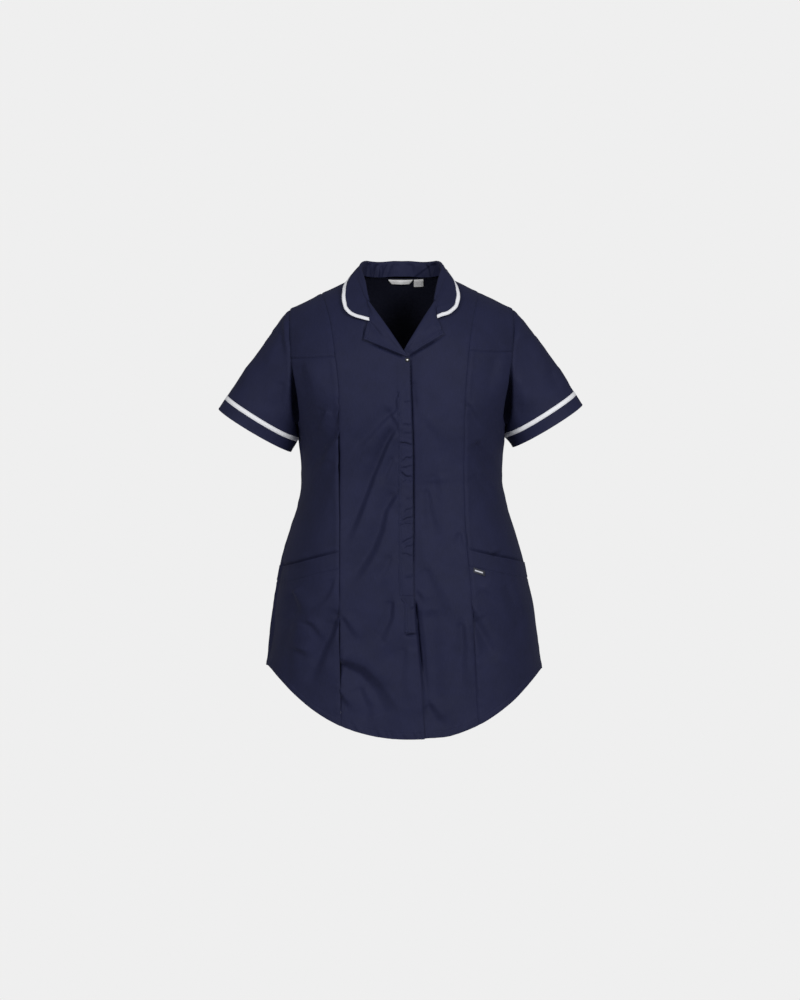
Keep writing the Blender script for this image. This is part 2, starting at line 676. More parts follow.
def inner_edge_x(side):
    """The centre front's inner edge from the shoulder to the hem: its x at each height."""
    if side < 0:
        rows = [Seam(row.height, -row.x) for row in NECK_EDGE] + list(CLOSING_EDGE)
    else:
        below = [row for row in CLOSING_EDGE if row.height < V_POINT.height - 20]
        rows = list(NECK_EDGE) + [V_POINT] + [Seam(row.height, row.x - OVERLAP) for row in below]
    return lambda height: straight_x(rows, height)


def princess_x(side, shift):
    return lambda height: smooth_row(PRINCESS[side], height).x + shift


def centre_patch(side):
    """The centre front between the princess seam (s = 0) and its inner edge (s = 1)."""
    princess, inner = princess_x(side, -side * SEAM_GAP / 2), inner_edge_x(side)
    hem_out, hem_in = princess(np.array(HEM_LOW + HEM_SEAM_RISE)), inner(np.array(HEM_LOW))
    ends = [on_form(x, hem_height(x))[1] for x in (hem_out, hem_in)]
    princess_edge = down_edge(princess, SEAM_GAP / 2, ends[0])
    inner_edge = down_edge(inner, SEAM_GAP / 2, ends[1])

    def hem(s):
        x = mix(hem_out, hem_in, s)
        # The left one is a little shorter beside the closing edge.
        shorter = 3.0 * ease((80 - x) / 40) if side > 0 else 0.0
        return on_form(x, hem_height(x) + shorter)

    shoulder = straight_line(princess_edge(0.0), inner_edge(0.0))
    return sides_blend(princess_edge, inner_edge, shoulder, hem)


def side_patches(side):
    """The side front between the princess seam (s = 0) and the armhole and side seam (s = 1): the patch from the
    yoke to the pocket's top edge, and the one from there to the hem."""
    princess = princess_x(side, side * SEAM_GAP / 2)
    yoke = np.array(YOKE_HEIGHT[side] - SEAM_GAP / 2)

    def drops(in_height, out_height, out_x):
        in_height, out_height = np.array(in_height, float), np.array(out_height, float)
        return on_form(princess(in_height), in_height)[1], on_form(out_x, out_height)[1]

    pocket_in, pocket_out = POCKET_TOP[side]
    yoke_drops = drops(yoke, yoke, armhole_x(side)(yoke))
    pocket_drops = drops(pocket_in.height, pocket_out.height, side_seam_x(side, np.array(pocket_out.height)))
    hem_x = princess(np.array(HEM_LOW + HEM_SEAM_RISE))
    hem_drops = (on_form(hem_x, hem_height(hem_x))[1], side_seam_end(side))
    upper_edges = [down_edge(princess, yoke_drops[0], pocket_drops[0])]
    upper_edges.append(outer_edge(side, yoke_drops[1], pocket_drops[1]))
    lower_edges = [down_edge(princess, pocket_drops[0], hem_drops[0])]
    lower_edges.append(outer_edge(side, pocket_drops[1], hem_drops[1]))
    yoke_line = straight_line(*(edge(0.0) for edge in upper_edges))
    pocket_ends = [edge(0.0) for edge in lower_edges]
    hem_ends = [edge(1.0) for edge in lower_edges]

    def pocket_line(s):
        around = mix(pocket_ends[0][0], pocket_ends[1][0], s)
        x = form_point(around, mix(pocket_ends[0][1], pocket_ends[1][1], s))[..., 0]
        height = mix(pocket_in.height, pocket_out.height, (x - pocket_in.x) / (pocket_out.x - pocket_in.x))
        return around, on_form(x, height)[1]

    def hem(s):
        around = mix(hem_ends[0][0], hem_ends[1][0], s)
        x = form_point(around, mix(hem_ends[0][1], hem_ends[1][1], s))[..., 0]
        return around, on_form(x, hem_height(x))[1]

    upper = sides_blend(*upper_edges, yoke_line, pocket_line)
    lower = sides_blend(*lower_edges, pocket_line, hem)
    return upper, lower


def yoke_patch(side):
    """The yoke between the princess seam (s = 0) and the armhole (s = 1), from the shoulder to the yoke seam."""
    bottom = np.array(YOKE_HEIGHT[side] + SEAM_GAP / 2)
    edges = []
    for x_at in (princess_x(side, side * SEAM_GAP / 2), armhole_x(side)):
        edges.append(down_edge(x_at, SEAM_GAP / 2, on_form(x_at(bottom), bottom)[1]))
    shoulder, seam = (straight_line(*(edge(end) for edge in edges)) for end in (0.0, 1.0))
    return sides_blend(*edges, shoulder, seam)


def back_patch():
    """The back from the left side (s = 0) to the right (s = 1): shoulders and neck edge down to the hem."""
    ends = [side_seam_end(side) for side in (1, -1)]
    edges = [outer_edge(side, SEAM_GAP / 2, end, back=True) for side, end in zip((1, -1), ends)]
    tip_x = armhole_x(1)(shoulder_height(np.array(SHOULDER_TIP_X)))

    def top_edge(s):
        x = mix(tip_x, -tip_x, np.asarray(s, float))
        neck = mix(BACK_NECK_HEIGHT, shoulder_height(NECK_X), (x / NECK_X) ** 2)
        shoulder = on_form(x, shoulder_height(x), back=True)[0]
        around, drop = on_form(x, neck, back=True)
        outside = np.abs(x) >= NECK_X
        return np.where(outside, shoulder, around), np.where(outside, SEAM_GAP / 2, drop)

    def hem(s):
        around = mix(edges[0](1.0)[0], edges[1](1.0)[0], s)
        x = form_point(around, mix(*ends, s))[..., 0]
        return around, on_form(x, hem_height(x, back=True), back=True)[1]

    return sides_blend(*edges, top_edge, hem)


def spacing(length, cell, fine_start=True, fine_stop=True):
    """Shares from 0 to 1 along that length, a cell apart and closer together near the ends that are seams."""
    steps = np.array([0.0, 0.5, 1.1, 1.8, 2.7, 3.9, 5.5])
    start = steps if fine_start else np.array([0.0])
    stop = steps if fine_stop else np.array([0.0])
    count = max(2, round((length - start[-1] - stop[-1]) / cell))
    middle = np.linspace(start[-1], length - stop[-1], count + 1)
    places = np.concatenate([start[:-1], middle, length - stop[:-1][::-1]])
    return places / length


# Cloth laid on the form: its points, its normals, and its distances along the cloth to its four edges.
Cloth = namedtuple("Cloth", "point normal left right top bottom")


def measured(point, facing):
    """A grid of points with its normals, which face that way at its middle, and its distances to its edges."""
    across, down = np.gradient(point, axis=1), np.gradient(point, axis=0)
    normal = unit(np.cross(down, across))
    middle = tuple(size // 2 for size in normal.shape[:2])
    if np.dot(normal[middle], facing(point[middle])) < 0:
        normal = -normal
    widths = np.linalg.norm(np.diff(point, axis=1), axis=-1)
    lengths = np.linalg.norm(np.diff(point, axis=0), axis=-1)
    left = np.pad(np.cumsum(widths, axis=1), ((0, 0), (1, 0)))
    top = np.pad(np.cumsum(lengths, axis=0), ((1, 0), (0, 0)))
    return Cloth(point, normal, left, left[:, -1:] - left, top, top[-1:] - top)


def outward(point):
    """Away from the garment's middle line."""
    return np.array([point[0], point[1], 0.0])


def laid_out(patch, columns, rows):
    s, t = np.meshgrid(columns, rows)
    around, drop = patch(s, t)
    return measured(form_point(around, drop), outward)


def seamed(distance, depth=1.0):
    """A seam's edge: the cloth turns in at it, and its pressed allowance shows as a low ridge beside it."""
    return -depth * bump(distance, 1.5) + 0.3 * bump(distance - 6.5, 3.6)


def puckered(distance, along, spread, pitch, depth, seed):
    """Small uneven ripples across a sewn edge, dying away from it."""
    return depth * bump(distance, spread) * ease(np.abs(distance) / 4) * uneven(distance * 0.25, along, pitch, seed)


def hollow_at_armhole(distance, height, to_front):
    """How deep the cloth sinks beside the armhole, where the sleeve hangs against the body under the arm."""
    low = ease((-128 - height) / 100)
    return low * ease(to_front / 0.5 + 0.4) * (13.0 * bump(distance, mix(4.0, 10.0, low)) + 6.0 * bump(distance, 3.2))


def hemmed(distance, along, band, seed, rough):
    """A turned hem: double cloth, its stitch row, and small twisted puckers in it."""
    thick = 0.5 * ease((band + 1.2 - distance) / 1.8)
    trough = -0.45 * bump(distance - (band - 1.2), 1.1)
    ripple = uneven(distance * 0.15, along + 0.5 * distance, 4.6, seed) * rough * ease((band + 5 - distance) / 7)
    ripple = ripple * ease(distance / 4 + 0.25)
    return thick + trough + ripple


def stitch_map(rows, shape):
    """For each point, how far along and across it lies from the nearest row of stitches, in metres."""
    along, across = np.zeros(shape), np.full(shape, 1000.0)
    for row_across, row_along in rows:
        nearer = np.abs(row_across) < np.abs(across)
        across = np.where(nearer, row_across, across)
        along = np.where(nearer, row_along, along)
    return np.stack([along, across], axis=-1) * MM


def sheet_object(name, point, normal, weave, stitches, material, thick, closed=False):
    """A sheet of cloth from its outer face's grid of points, with a UV map for its weave and one for its stitches.
    A closed one joins its first column to its last."""
    rows, columns = point.shape[:2]
    mesh = bmesh.new()
    bmesh.ops.create_grid(mesh, x_segments=columns - 1, y_segments=rows - 1, size=0.5)
    data = bpy.data.meshes.new(name)
    mesh.to_mesh(data)
    flat = np.empty(len(data.vertices) * 3)
    data.vertices.foreach_get("co", flat)
    flat = flat.reshape(-1, 3) + 0.5
    column = np.rint(flat[:, 0] * (columns - 1)).astype(int)
    row = np.rint(flat[:, 1] * (rows - 1)).astype(int)
    data.vertices.foreach_set("co", (point[row, column] * MM).ravel())
    corners = np.empty(len(data.loops), int)
    data.loops.foreach_get("vertex_index", corners)
    for map_name, values in (("weave", weave), ("stitch", stitches)):
        layer = data.uv_layers.new(name=map_name)
        layer.uv.foreach_set("vector", values[row, column][corners].astype(np.float32).ravel())
    mesh.clear()
    mesh.from_mesh(data)
    if closed:
        bmesh.ops.remove_doubles(mesh, verts=mesh.verts[:], dist=2e-6)
    bmesh.ops.recalc_face_normals(mesh, faces=mesh.faces[:])
    mesh.faces.ensure_lookup_table()
    face = mesh.faces[len(mesh.faces) // 2 + columns // 2]
    centre = np.array(face.calc_center_median()) / MM
    nearest = np.argmin(np.linalg.norm(point - centre, axis=-1))
    if face.normal.dot(Vector(normal.reshape(-1, 3)[nearest])) < 0:
        bmesh.ops.reverse_faces(mesh, faces=mesh.faces[:])
    mesh.to_mesh(data)
    mesh.free()
    data.shade_smooth()
    piece = bpy.data.objects.new(name, data)
    bpy.context.scene.collection.objects.link(piece)
    wall = piece.modifiers.new("thickness", "SOLIDIFY")
    wall.thickness = thick * MM
    wall.offset = -1
    solid = bpy.data.meshes.new_from_object(piece.evaluated_get(bpy.context.evaluated_depsgraph_get()))
    piece.modifiers.clear()
    piece.data = solid
    bpy.data.meshes.remove(data)
    solid.name = name
    solid.set_sharp_from_angle(angle=math.radians(50))
    solid.materials.clear()
    solid.materials.append(material)
    return piece


def weave_map(cloth):
    """Distances across and down the cloth, in metres, so that the threads run with its grain."""
    return np.stack([cloth.left, cloth.top], axis=-1) * MM


def settle(piece, node, area=None):
    """Gives a finished piece its body, its node and its cut."""
    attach(piece, "root")
    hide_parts(node)
    return piece


def cut_of(point):
    """A grid's widest width, longest length and area, in metres and square metres."""
    widths = np.linalg.norm(np.diff(point, axis=1), axis=-1)
    lengths = np.linalg.norm(np.diff(point, axis=0), axis=-1)
    down, across = np.diff(point, axis=0)[:, :-1], np.diff(point, axis=1)[:-1]
    area = np.linalg.norm(np.cross(down, across), axis=-1).sum() * 1e-6
    width, length = widths.sum(1).max() * MM, max(lengths.sum(0).max() * MM, 0.01)
    return width, length, max(0.31 * width * length, min(area, width * length))


SHEETS = {}


def settle_sheet(made):
    """Declares a finished sheet, with the cut that its cloth lies flat at."""
    piece, node = made
    width, length, area = cut_of(SHEETS[piece.name].point)
    return settle(piece, node, area)


def make_sheet(name, cloth, point, material, stitches=(), thick=0.8, closed=False):
    """One sheet of cloth at its finished points. Its normals and grid stay at hand for what lies on it."""
    done = measured(point, outward)
    if np.sum(done.normal * cloth.normal) < 0:
        done = done._replace(normal=-done.normal)
    SHEETS[name] = done
    rows = stitch_map(stitches, point.shape[:2])
    return sheet_object(name, point, done.normal, weave_map(cloth), rows, material, thick, closed)


def laid_on(name, rows=slice(None), columns=slice(None)):
    """A part of a finished sheet, as the ground for what lies on it."""
    sheet = SHEETS[name]
    part = measured(sheet.point[rows, columns], outward)
    return part._replace(normal=sheet.normal[rows, columns])


def small_sheet(name, cloth, lift, stitches, material, thick):
    """A small sheet, which keeps the normals of the form under it."""
    point = lifted(cloth, lift)
    SHEETS[name] = cloth._replace(point=point)
    rows = stitch_map(stitches, point.shape[:2])
    return sheet_object(name, point, cloth.normal, weave_map(cloth), rows, material, thick)


def edge_rows(cloth):
    """The rows of stitches along a tape's two edges."""
    return [(cloth.top - 1.0, cloth.left), (cloth.bottom - 1.0, cloth.left)]


def join_ends(normal):
    """Gives a tube's first and last columns, which meet, the same normal."""
    normal[:, :1] = normal[:, -1:] = unit(normal[:, :1] + normal[:, -1:])


def lifted(cloth, lift):
    return cloth.point + cloth.normal * np.asarray(lift)[..., None]


# --- finishes -------------------------------------------------------------------------------------------------


def linear(code):
    """The linear colour of an sRGB hex code."""
    channels = [int(code[place : place + 2], 16) / 255 for place in (0, 2, 4)]
    return [c / 12.92 if c <= 0.04045 else ((c + 0.055) / 1.055) ** 2.4 for c in channels] + [1.0]


def add_node(tree, kind, settings=None, inputs=None):
    """Adds a node with its settings. An input is a value, or an output socket to link from."""
    node = tree.nodes.new(kind)
    for name, value in (settings or {}).items():
        setattr(node, name, value)
    for name, value in (inputs or {}).items():
        socket = node.inputs[name]
        if isinstance(value, bpy.types.NodeSocket):
            tree.links.new(value, socket)
        else:
            socket.default_value = value
    return node


def new_material(name, values):
    """A material with those values on its Principled shader: (its tree, the shader)."""
    material = bpy.data.materials.new(name)
    material.use_nodes = True
    shader = material.node_tree.nodes["Principled BSDF"]
    for socket, value in values.items():
        shader.inputs[socket].default_value = value
    return material, material.node_tree, shader


def bands_scale(pitch):
    """The wave texture's scale that puts its bands that many millimetres apart, on coordinates in metres."""
    return math.tau / (20 * pitch * MM)


def computed(tree, operation, *values):
    return add_node(tree, "ShaderNodeMath", {"operation": operation}, dict(enumerate(values))).outputs[0]


def scaled(tree, value, factor):
    return computed(tree, "MULTIPLY", value, factor)


def ramp(tree, value, low, high, start=0.0, stop=1.0, kind="LINEAR"):
    """The value, carried from the range low to high over to the range start to stop."""
    ends = {"Value": value, "From Min": low, "From Max": high, "To Min": start, "To Max": stop}
    return add_node(tree, "ShaderNodeMapRange", {"interpolation_type": kind}, ends).outputs[0]


def uv_place(tree, name):
    return add_node(tree, "ShaderNodeUVMap", {"uv_map": name}).outputs["UV"]


def object_place(tree):
    return add_node(tree, "ShaderNodeTexCoord").outputs["Object"]


def separated(tree, vector):
    return add_node(tree, "ShaderNodeSeparateXYZ", inputs={"Vector": vector}).outputs


def noise(tree, place, scale, detail, roughness=0.5):
    inputs = {"Vector": place, "Scale": scale, "Detail": detail, "Roughness": roughness}
    return add_node(tree, "ShaderNodeTexNoise", inputs=inputs).outputs["Fac"]


def thread_noise(tree, place, stretch):
    """Noise that is drawn out along the threads."""
    drawn = add_node(tree, "ShaderNodeMapping", inputs={"Vector": place, "Scale": stretch})
    return noise(tree, drawn.outputs[0], 1.0, 2.0)


def ribbed(tree, place, pitch, inputs, direction="X"):
    """Even ribs, that many millimetres apart."""
    inputs = {"Vector": place, "Scale": bands_scale(pitch), **inputs}
    return add_node(tree, "ShaderNodeTexWave", {"bands_direction": direction}, inputs).outputs["Fac"]


def mixed(tree, share, start, stop):
    """A colour between two others."""
    return add_node(
        tree, "ShaderNodeMix", {"data_type": "RGBA"}, {"Factor": share, 6: start, 7: stop}
    ).outputs[2]


def set_relief(tree, shader, height, strength=1.0, distance=MM):
    relief = add_node(tree, "ShaderNodeBump", inputs={"Strength": strength, "Distance": distance, "Height": height})
    tree.links.new(relief.outputs[0], shader.inputs["Normal"])


def set_cloth(tree, shader, colour, heights):
    """Gives the shader its colour, and its relief from pairs of a height and how much it counts, in millimetres."""
    tree.links.new(colour, shader.inputs["Base Color"])
    total, *others = [scaled(tree, height, share) for height, share in heights]
    for height in others:
        total = computed(tree, "ADD", total, height)
    set_relief(tree, shader, total)


def stitch_marks(tree, stitch_length, thread):
    """From the stitch map: how much a point lies on a thread, and how much in the dent that the row pulls."""
    parts = separated(tree, uv_place(tree, "stitch"))
    across = computed(tree, "ABSOLUTE", parts["Y"])
    on_row = ramp(tree, across, thread * 0.35 * MM, thread * 0.65 * MM, 1.0, 0.0, "SMOOTHSTEP")
    phase = computed(tree, "PINGPONG", computed(tree, "DIVIDE", parts["X"], stitch_length * MM), 0.5)
    on_stitch = ramp(tree, phase, 0.06, 0.16, kind="SMOOTHSTEP")
    return computed(tree, "MULTIPLY", on_row, on_stitch), ramp(tree, across, 0.0, 2.2 * MM, 1.0, 0.0, "SMOOTHSTEP")


def navy_twill(colours, name="navy_polycotton_twill"):
    """Polycotton twill, dyed navy: matt, with a faint bluish nap, fine diagonal ribs and slubs, and navy thread."""
    material, tree, shader = new_material(
        name,
        {"Roughness": 0.72, "IOR": 1.45, "Specular IOR Level": 0.24, "Sheen Weight": 0.024, "Sheen Roughness": 0.45},
    )
    shader.inputs["Sheen Tint"].default_value = linear("8C90C8")
    weave, place = uv_place(tree, "weave"), object_place(tree)
    # The ribs are about 0.45 mm apart on the cloth. They are drawn 1.5 mm apart, so that they show.
    turned = add_node(tree, "ShaderNodeMapping", inputs={"Vector": weave, "Rotation": (0, 0, math.radians(28))})
    ribs = ribbed(tree, turned.outputs[0], 1.5, {"Distortion": 0.6, "Detail": 1.0, "Detail Scale": 2.0})
    # Slubs: threads of uneven thickness, about 1 mm wide and 12 mm long, drawn down and across the cloth.
    slubs = [thread_noise(tree, weave, stretch) for stretch in ((900, 80, 1), (90, 800, 1))]
    # Pressing and wear leave soft unevenness, about 40 mm across.
    patches = noise(tree, place, 25.0, 3.0, 0.55)
    thread, dent = stitch_marks(tree, 2.8, 0.9)
    cloth = mixed(tree, ramp(tree, patches, 0.3, 0.7), colours["shade"], colours["navy"])
    cloth = mixed(tree, ramp(tree, slubs[0], 0.35, 0.7, stop=0.25), cloth, colours["light"])
    cloth = mixed(tree, scaled(tree, dent, 0.3), cloth, colours["shade"])
    cloth = mixed(tree, scaled(tree, thread, 0.55), cloth, colours["thread"])
    if name == "navy_twill_of_back":
        # The back's wrong side, seen through the neck, is duller and lies in the garment's own shade.
        facing = separated(tree, add_node(tree, "ShaderNodeNewGeometry").outputs["Normal"])["Y"]
        cloth = mixed(tree, ramp(tree, facing, -0.1, 0.1, 1.0, 0.0), cloth, colours["wrong_side"])
    soft = noise(tree, place, 70.0, 2.0)
    heights = ((ribs, 0.04), (slubs[0], 0.05), (slubs[1], 0.04), (soft, 0.45), (dent, -0.22), (thread, 0.3))
    set_cloth(tree, shader, cloth, heights)
    return material


def white_tape(colours):
    """Woven polyester tape, bleached white: close cross ribs, a little brighter than matt, sewn along both edges."""
    material, tree, shader = new_material(
        "white_woven_tape", {"Roughness": 0.6, "IOR": 1.5, "Specular IOR Level": 0.4, "Sheen Weight": 0.05}
    )
    weave = uv_place(tree, "weave")
    # The ribs are about 0.4 mm apart. They are drawn 1.2 mm apart, so that they show.
    ribs = ribbed(tree, weave, 1.2, {"Distortion": 0.8})
    uneven_threads = thread_noise(tree, weave, (60, 400, 1))
    thread, dent = stitch_marks(tree, 2.6, 0.7)
    cloth = mixed(tree, scaled(tree, uneven_threads, 0.35), colours["white"], colours["white_shade"])
    cloth = mixed(tree, scaled(tree, dent, 0.35), cloth, colours["white_shade"])
    set_cloth(tree, shader, cloth, ((ribs, 0.06), (uneven_threads, 0.1), (dent, -0.25), (thread, 0.25)))
    return material


def label_satin(colours):
    """Woven satin label: off-white and slightly glossy, with fine weft lines across it."""
    material, tree, shader = new_material(
        "woven_label_satin", {"Roughness": 0.42, "IOR": 1.5, "Specular IOR Level": 0.5}
    )
    lines = ribbed(tree, uv_place(tree, "weave"), 1.9, {"Distortion": 0.3}, "Y")
    cloth = mixed(tree, scaled(tree, lines, 0.6), colours["label"], colours["label_shade"])
    set_cloth(tree, shader, cloth, ((lines, 0.08),))
    return material


def tab_weave(colours):
    """Woven tab: tight navy damask with a plain pale bar along its middle."""
    material, tree, shader = new_material("woven_tab", {"Roughness": 0.5, "IOR": 1.5, "Specular IOR Level": 0.4})
    weave = uv_place(tree, "weave")
    parts = separated(tree, weave)
    width, length = POCKET_TAB_SIZE
    masks = []
    for axis, middle, half in (("X", width / 2, width / 2 - 2.2), ("Y", length / 2, 1.1)):
        off = computed(tree, "ABSOLUTE", computed(tree, "SUBTRACT", parts[axis], middle * MM))
        masks.append(ramp(tree, off, (half - 0.3) * MM, (half + 0.3) * MM, 1.0, 0.0, "SMOOTHSTEP"))
    bar = computed(tree, "MULTIPLY", *masks)
    ribs = ribbed(tree, weave, 0.9, {"Distortion": 0.4})
    cloth = mixed(tree, bar, colours["tab_ground"], colours["tab_bar"])
    cloth = mixed(tree, scaled(tree, ribs, 0.25), cloth, colours["tab_ground"])
    set_cloth(tree, shader, cloth, ((ribs, 0.06), (bar, 0.15)))
    return material


def nickel_cap():
    """Nickel-plated brass, pressed and polished: bright and smooth, with faint scratches."""
    material, tree, shader = new_material("nickel_plated_cap", {"Metallic": 1.0, "Roughness": 0.42})
    shader.inputs["Base Color"].default_value = linear("F2F1EF")
    set_relief(tree, shader, noise(tree, object_place(tree), 2500.0, 2.0), 0.3, 0.05 * MM)
    return material


def enamel_ring(colours):
    """Baked enamel on the stud's ring: dark navy, smooth and glossy."""
    material, tree, shader = new_material("dark_enamel_ring", {"Roughness": 0.5, "IOR": 1.5})
    specks = noise(tree, object_place(tree), 900.0, 1.0)
    coat = mixed(tree, scaled(tree, specks, 0.15), colours["enamel"], colours["shade"])
    tree.links.new(coat, shader.inputs["Base Color"])
    return material


def pale_floor(colours):
    """Painted board: pale and matt, with the faint mottle of a roller."""
    material, tree, shader = new_material("pale_painted_floor", {"Roughness": 0.9, "Specular IOR Level": 0.2})
    mottle = noise(tree, object_place(tree), 3.0, 2.0)
    paint = mixed(tree, scaled(tree, mottle, 0.3), colours["floor"], linear("E2E2E2"))
    tree.links.new(paint, shader.inputs["Base Color"])
    return material


def finish(name):
    """The material of that name, made on first use from the tunic's colours."""
    chosen = bpy.context.scene.tunic
    colours = {
        "navy": chosen.navy,
        "shade": chosen.navy_shade,
        "light": chosen.navy_light,
        "thread": chosen.thread,
        "wrong_side": linear("0F1122"),
        "white": chosen.tape_white,
        "white_shade": linear("D4D5DF"),
        "label": chosen.label_colour,
        "label_shade": linear("F4F4F6"),
        "tab_ground": linear("141628"),
        "tab_bar": linear("D8DAE2"),
        "enamel": linear("07080D"),
        "floor": bpy.context.scene.tunic_stage.floor_colour,
    }
    makers = {
        "navy_polycotton_twill": lambda: navy_twill(colours),
        "navy_twill_of_back": lambda: navy_twill(colours, "navy_twill_of_back"),
        "white_woven_tape": lambda: white_tape(colours),
        "woven_label_satin": lambda: label_satin(colours),
        "woven_tab": lambda: tab_weave(colours),
        "nickel_plated_cap": nickel_cap,
        "dark_enamel_ring": lambda: enamel_ring(colours),
        "pale_painted_floor": lambda: pale_floor(colours),
    }
    return bpy.data.materials.get(name) or makers[name]()


# --- the cuts ---------------------------------------------------------------------------------------------------

SIDE_WORDS = {-1: "right", 1: "left"}


def folds_on(outer):
    """The front folds of the side fronts (outer) or of the centre fronts. A fold may start past its panel's seam, and
    belongs to the panel that it ends on."""
    return tuple(fold for fold in FRONT_FOLDS if (abs(fold.points[-1][0]) > 105) == outer)


CENTRE_FOLDS, SIDE_FOLDS = folds_on(False), folds_on(True)


def front_lift(cloth, folds=CENTRE_FOLDS, calm=1.0):
    """The lift of the fronts' outer face. calm is 0 at an edge that meets another sheet and 1 away from it."""
    x, height = cloth.point[..., 0], cloth.point[..., 2]
    lumps = 1.0 * uneven(x + 0.4 * height, height, 44, 5) + 0.45 * uneven(x, height, 17, 6)
    return CLOTH + calm * (folded(folds, x, height) + lumps)


def make_centre_front(side):
    """A centre front: princess seam, neck edge, closing edge and hem."""
    cloth = laid_out(centre_patch(side), spacing(135, 1.9), spacing(770, 2.1))
    x, height = cloth.point[..., 0], cloth.point[..., 2]
    lift = front_lift(cloth, CENTRE_FOLDS + (CLOSING_FOLDS if side > 0 else ()))
    lift += seamed(cloth.left) + seamed(cloth.top, 0.6)
    lift += puckered(cloth.left, cloth.top, 9, 8.5, 0.45, 11 + side)
    lift += hemmed(cloth.bottom, cloth.left, HEM_BAND, 21 + side, 1.2 * ease(cloth.left / 10))
    stitches = [(cloth.bottom - HEM_ROW, cloth.left)]
    if side > 0:
        inside = smooth_row(CLOSING_EDGE, height).x + OVERLAP_MARGIN + OVERLAP_BLEND - x
        lift -= OVERLAP_SINK * ease(inside / OVERLAP_BLEND) * ease((V_POINT.height + 12 - height) / 20)
    else:
        below = ease((V_POINT.height - 8 - height) / 10)
        lift += below * (0.5 * bump(cloth.right - 2.5, 3.2) - 0.5 * bump(cloth.right, 0.9))
        lift += below * puckered(cloth.right, cloth.top, 9, 10, 0.35, 31)
    name = f"centre_front_{SIDE_WORDS[side]}"
    piece = make_sheet(name, cloth, lifted(cloth, lift), finish("navy_polycotton_twill"), stitches)
    return piece, f"front_{SIDE_WORDS[side]}_centre"


def make_side_front(side):
    """A side front: yoke seam, princess seam, armhole, side seam and hem."""
    upper, lower = side_patches(side)

    def patch(s, t):
        ends = [np.where(t <= 1, a, b) for a, b in zip(upper(s, np.minimum(t, 1)), lower(s, np.maximum(t - 1, 0)))]
        return tuple(ends)

    high_rows = spacing(330, 2.2, fine_stop=False)[:-1]
    rows = np.concatenate([high_rows, 1 + spacing(250, 2.2, fine_start=False)])
    cloth = laid_out(patch, spacing(110, 2.1), rows)
    lift = front_lift(cloth, SIDE_FOLDS, ease(cloth.right / 12))
    lift += seamed(cloth.left) + seamed(cloth.right, 0.9) + seamed(cloth.top, 0.9)
    # The princess seam's allowance is pressed this way, and shows as a long low ridge.
    lift += 0.55 * bump(cloth.left - 5.0, 3.0) * (0.6 + 0.4 * uneven(cloth.top, cloth.top, 40, 7))
    lift += puckered(cloth.left, cloth.top, 8, 8.0, 0.4, 41 + side)
    lift += puckered(cloth.right, cloth.top, 8, 9.0, 0.4, 45 + side)
    lift += hemmed(cloth.bottom, cloth.left, HEM_BAND, 25 + side, 0.4 * ease(cloth.left / 10))
    height = cloth.point[..., 2]
    # The panel hangs a little hollow between its seams, so it turns away from the light at once beside the front.
    lift -= HOLLOW[side] * np.sin(np.pi * cloth.left / (cloth.left + cloth.right)) * ease((-150 - height) / 120)
    above_seam = ease((height - UNDERARM) / 12)
    lift -= above_seam * hollow_at_armhole(cloth.right, height, 1.0)
    # The cloth sinks behind the pocket's mouth.
    above_mouth = cloth.top[len(high_rows)] - cloth.top
    from_front = cloth.left / (cloth.left + cloth.right)
    mouth = np.sqrt(np.maximum(0.0, np.sin(np.pi * from_front))) * (1.3 - 0.8 * from_front)
    lift -= mouth * (4.6 * bump(above_mouth - 1.0, 2.6) - 0.8 * bump(above_mouth - 9, 5))
    stitches = [(cloth.bottom - HEM_ROW, cloth.left)]
    name = f"side_front_{SIDE_WORDS[side]}"
    piece = make_sheet(name, cloth, lifted(cloth, lift), finish("navy_polycotton_twill"), stitches)
    return piece, f"front_{SIDE_WORDS[side]}_side"


def make_yoke(side):
    """A yoke: princess seam, armhole, shoulder seam and yoke seam."""
    cloth = laid_out(yoke_patch(side), spacing(75, 1.8), spacing(165, 2.0))
    lift = front_lift(cloth, SIDE_FOLDS, ease(cloth.right / 10))
    lift += seamed(cloth.left) + seamed(cloth.right, 0.9) + seamed(cloth.top, 0.6) + seamed(cloth.bottom)
    lift += 0.35 * bump(cloth.bottom - 4.0, 2.6)
    lift += puckered(cloth.bottom, cloth.left, 7, 7.5, 0.35, 51 + side)
    lift += puckered(cloth.left, cloth.top, 7, 9.0, 0.3, 53 + side)
    stitches = [(cloth.bottom - 5.0, cloth.left)]
    name = f"yoke_{SIDE_WORDS[side]}"
    piece = make_sheet(name, cloth, lifted(cloth, lift), finish("navy_polycotton_twill"), stitches)
    return piece, f"front_{SIDE_WORDS[side]}_yoke"


def make_back():
    """The back: shoulders, back neck, armholes, side seams and hem."""
    cloth = laid_out(back_patch(), spacing(470, 3.6), spacing(780, 3.6))
    x, height = cloth.point[..., 0], cloth.point[..., 2]
    calm = ease(np.minimum(cloth.left, cloth.right) / 12)
    lumps = 0.9 * uneven(x, height, 40, 8), 0.35 * uneven(x, height, 16, 9)
    lift = CLOTH + calm * (folded(BACK_FOLDS, x, height) + lumps[0] + lumps[1])
    for edge, seed in ((cloth.left, 61), (cloth.right, 62)):
        lift += seamed(edge, 0.9) + puckered(edge, cloth.top, 8, 9.5, 0.45, seed)
    lift += seamed(cloth.top, 0.6)
    lift += hemmed(cloth.bottom, cloth.left, HEM_BAND, 63, 0.5)
    stitches = [(cloth.bottom - HEM_ROW, cloth.left)]
    piece = make_sheet("back_panel", cloth, lifted(cloth, lift), finish("navy_twill_of_back"), stitches)
    return piece, "back"


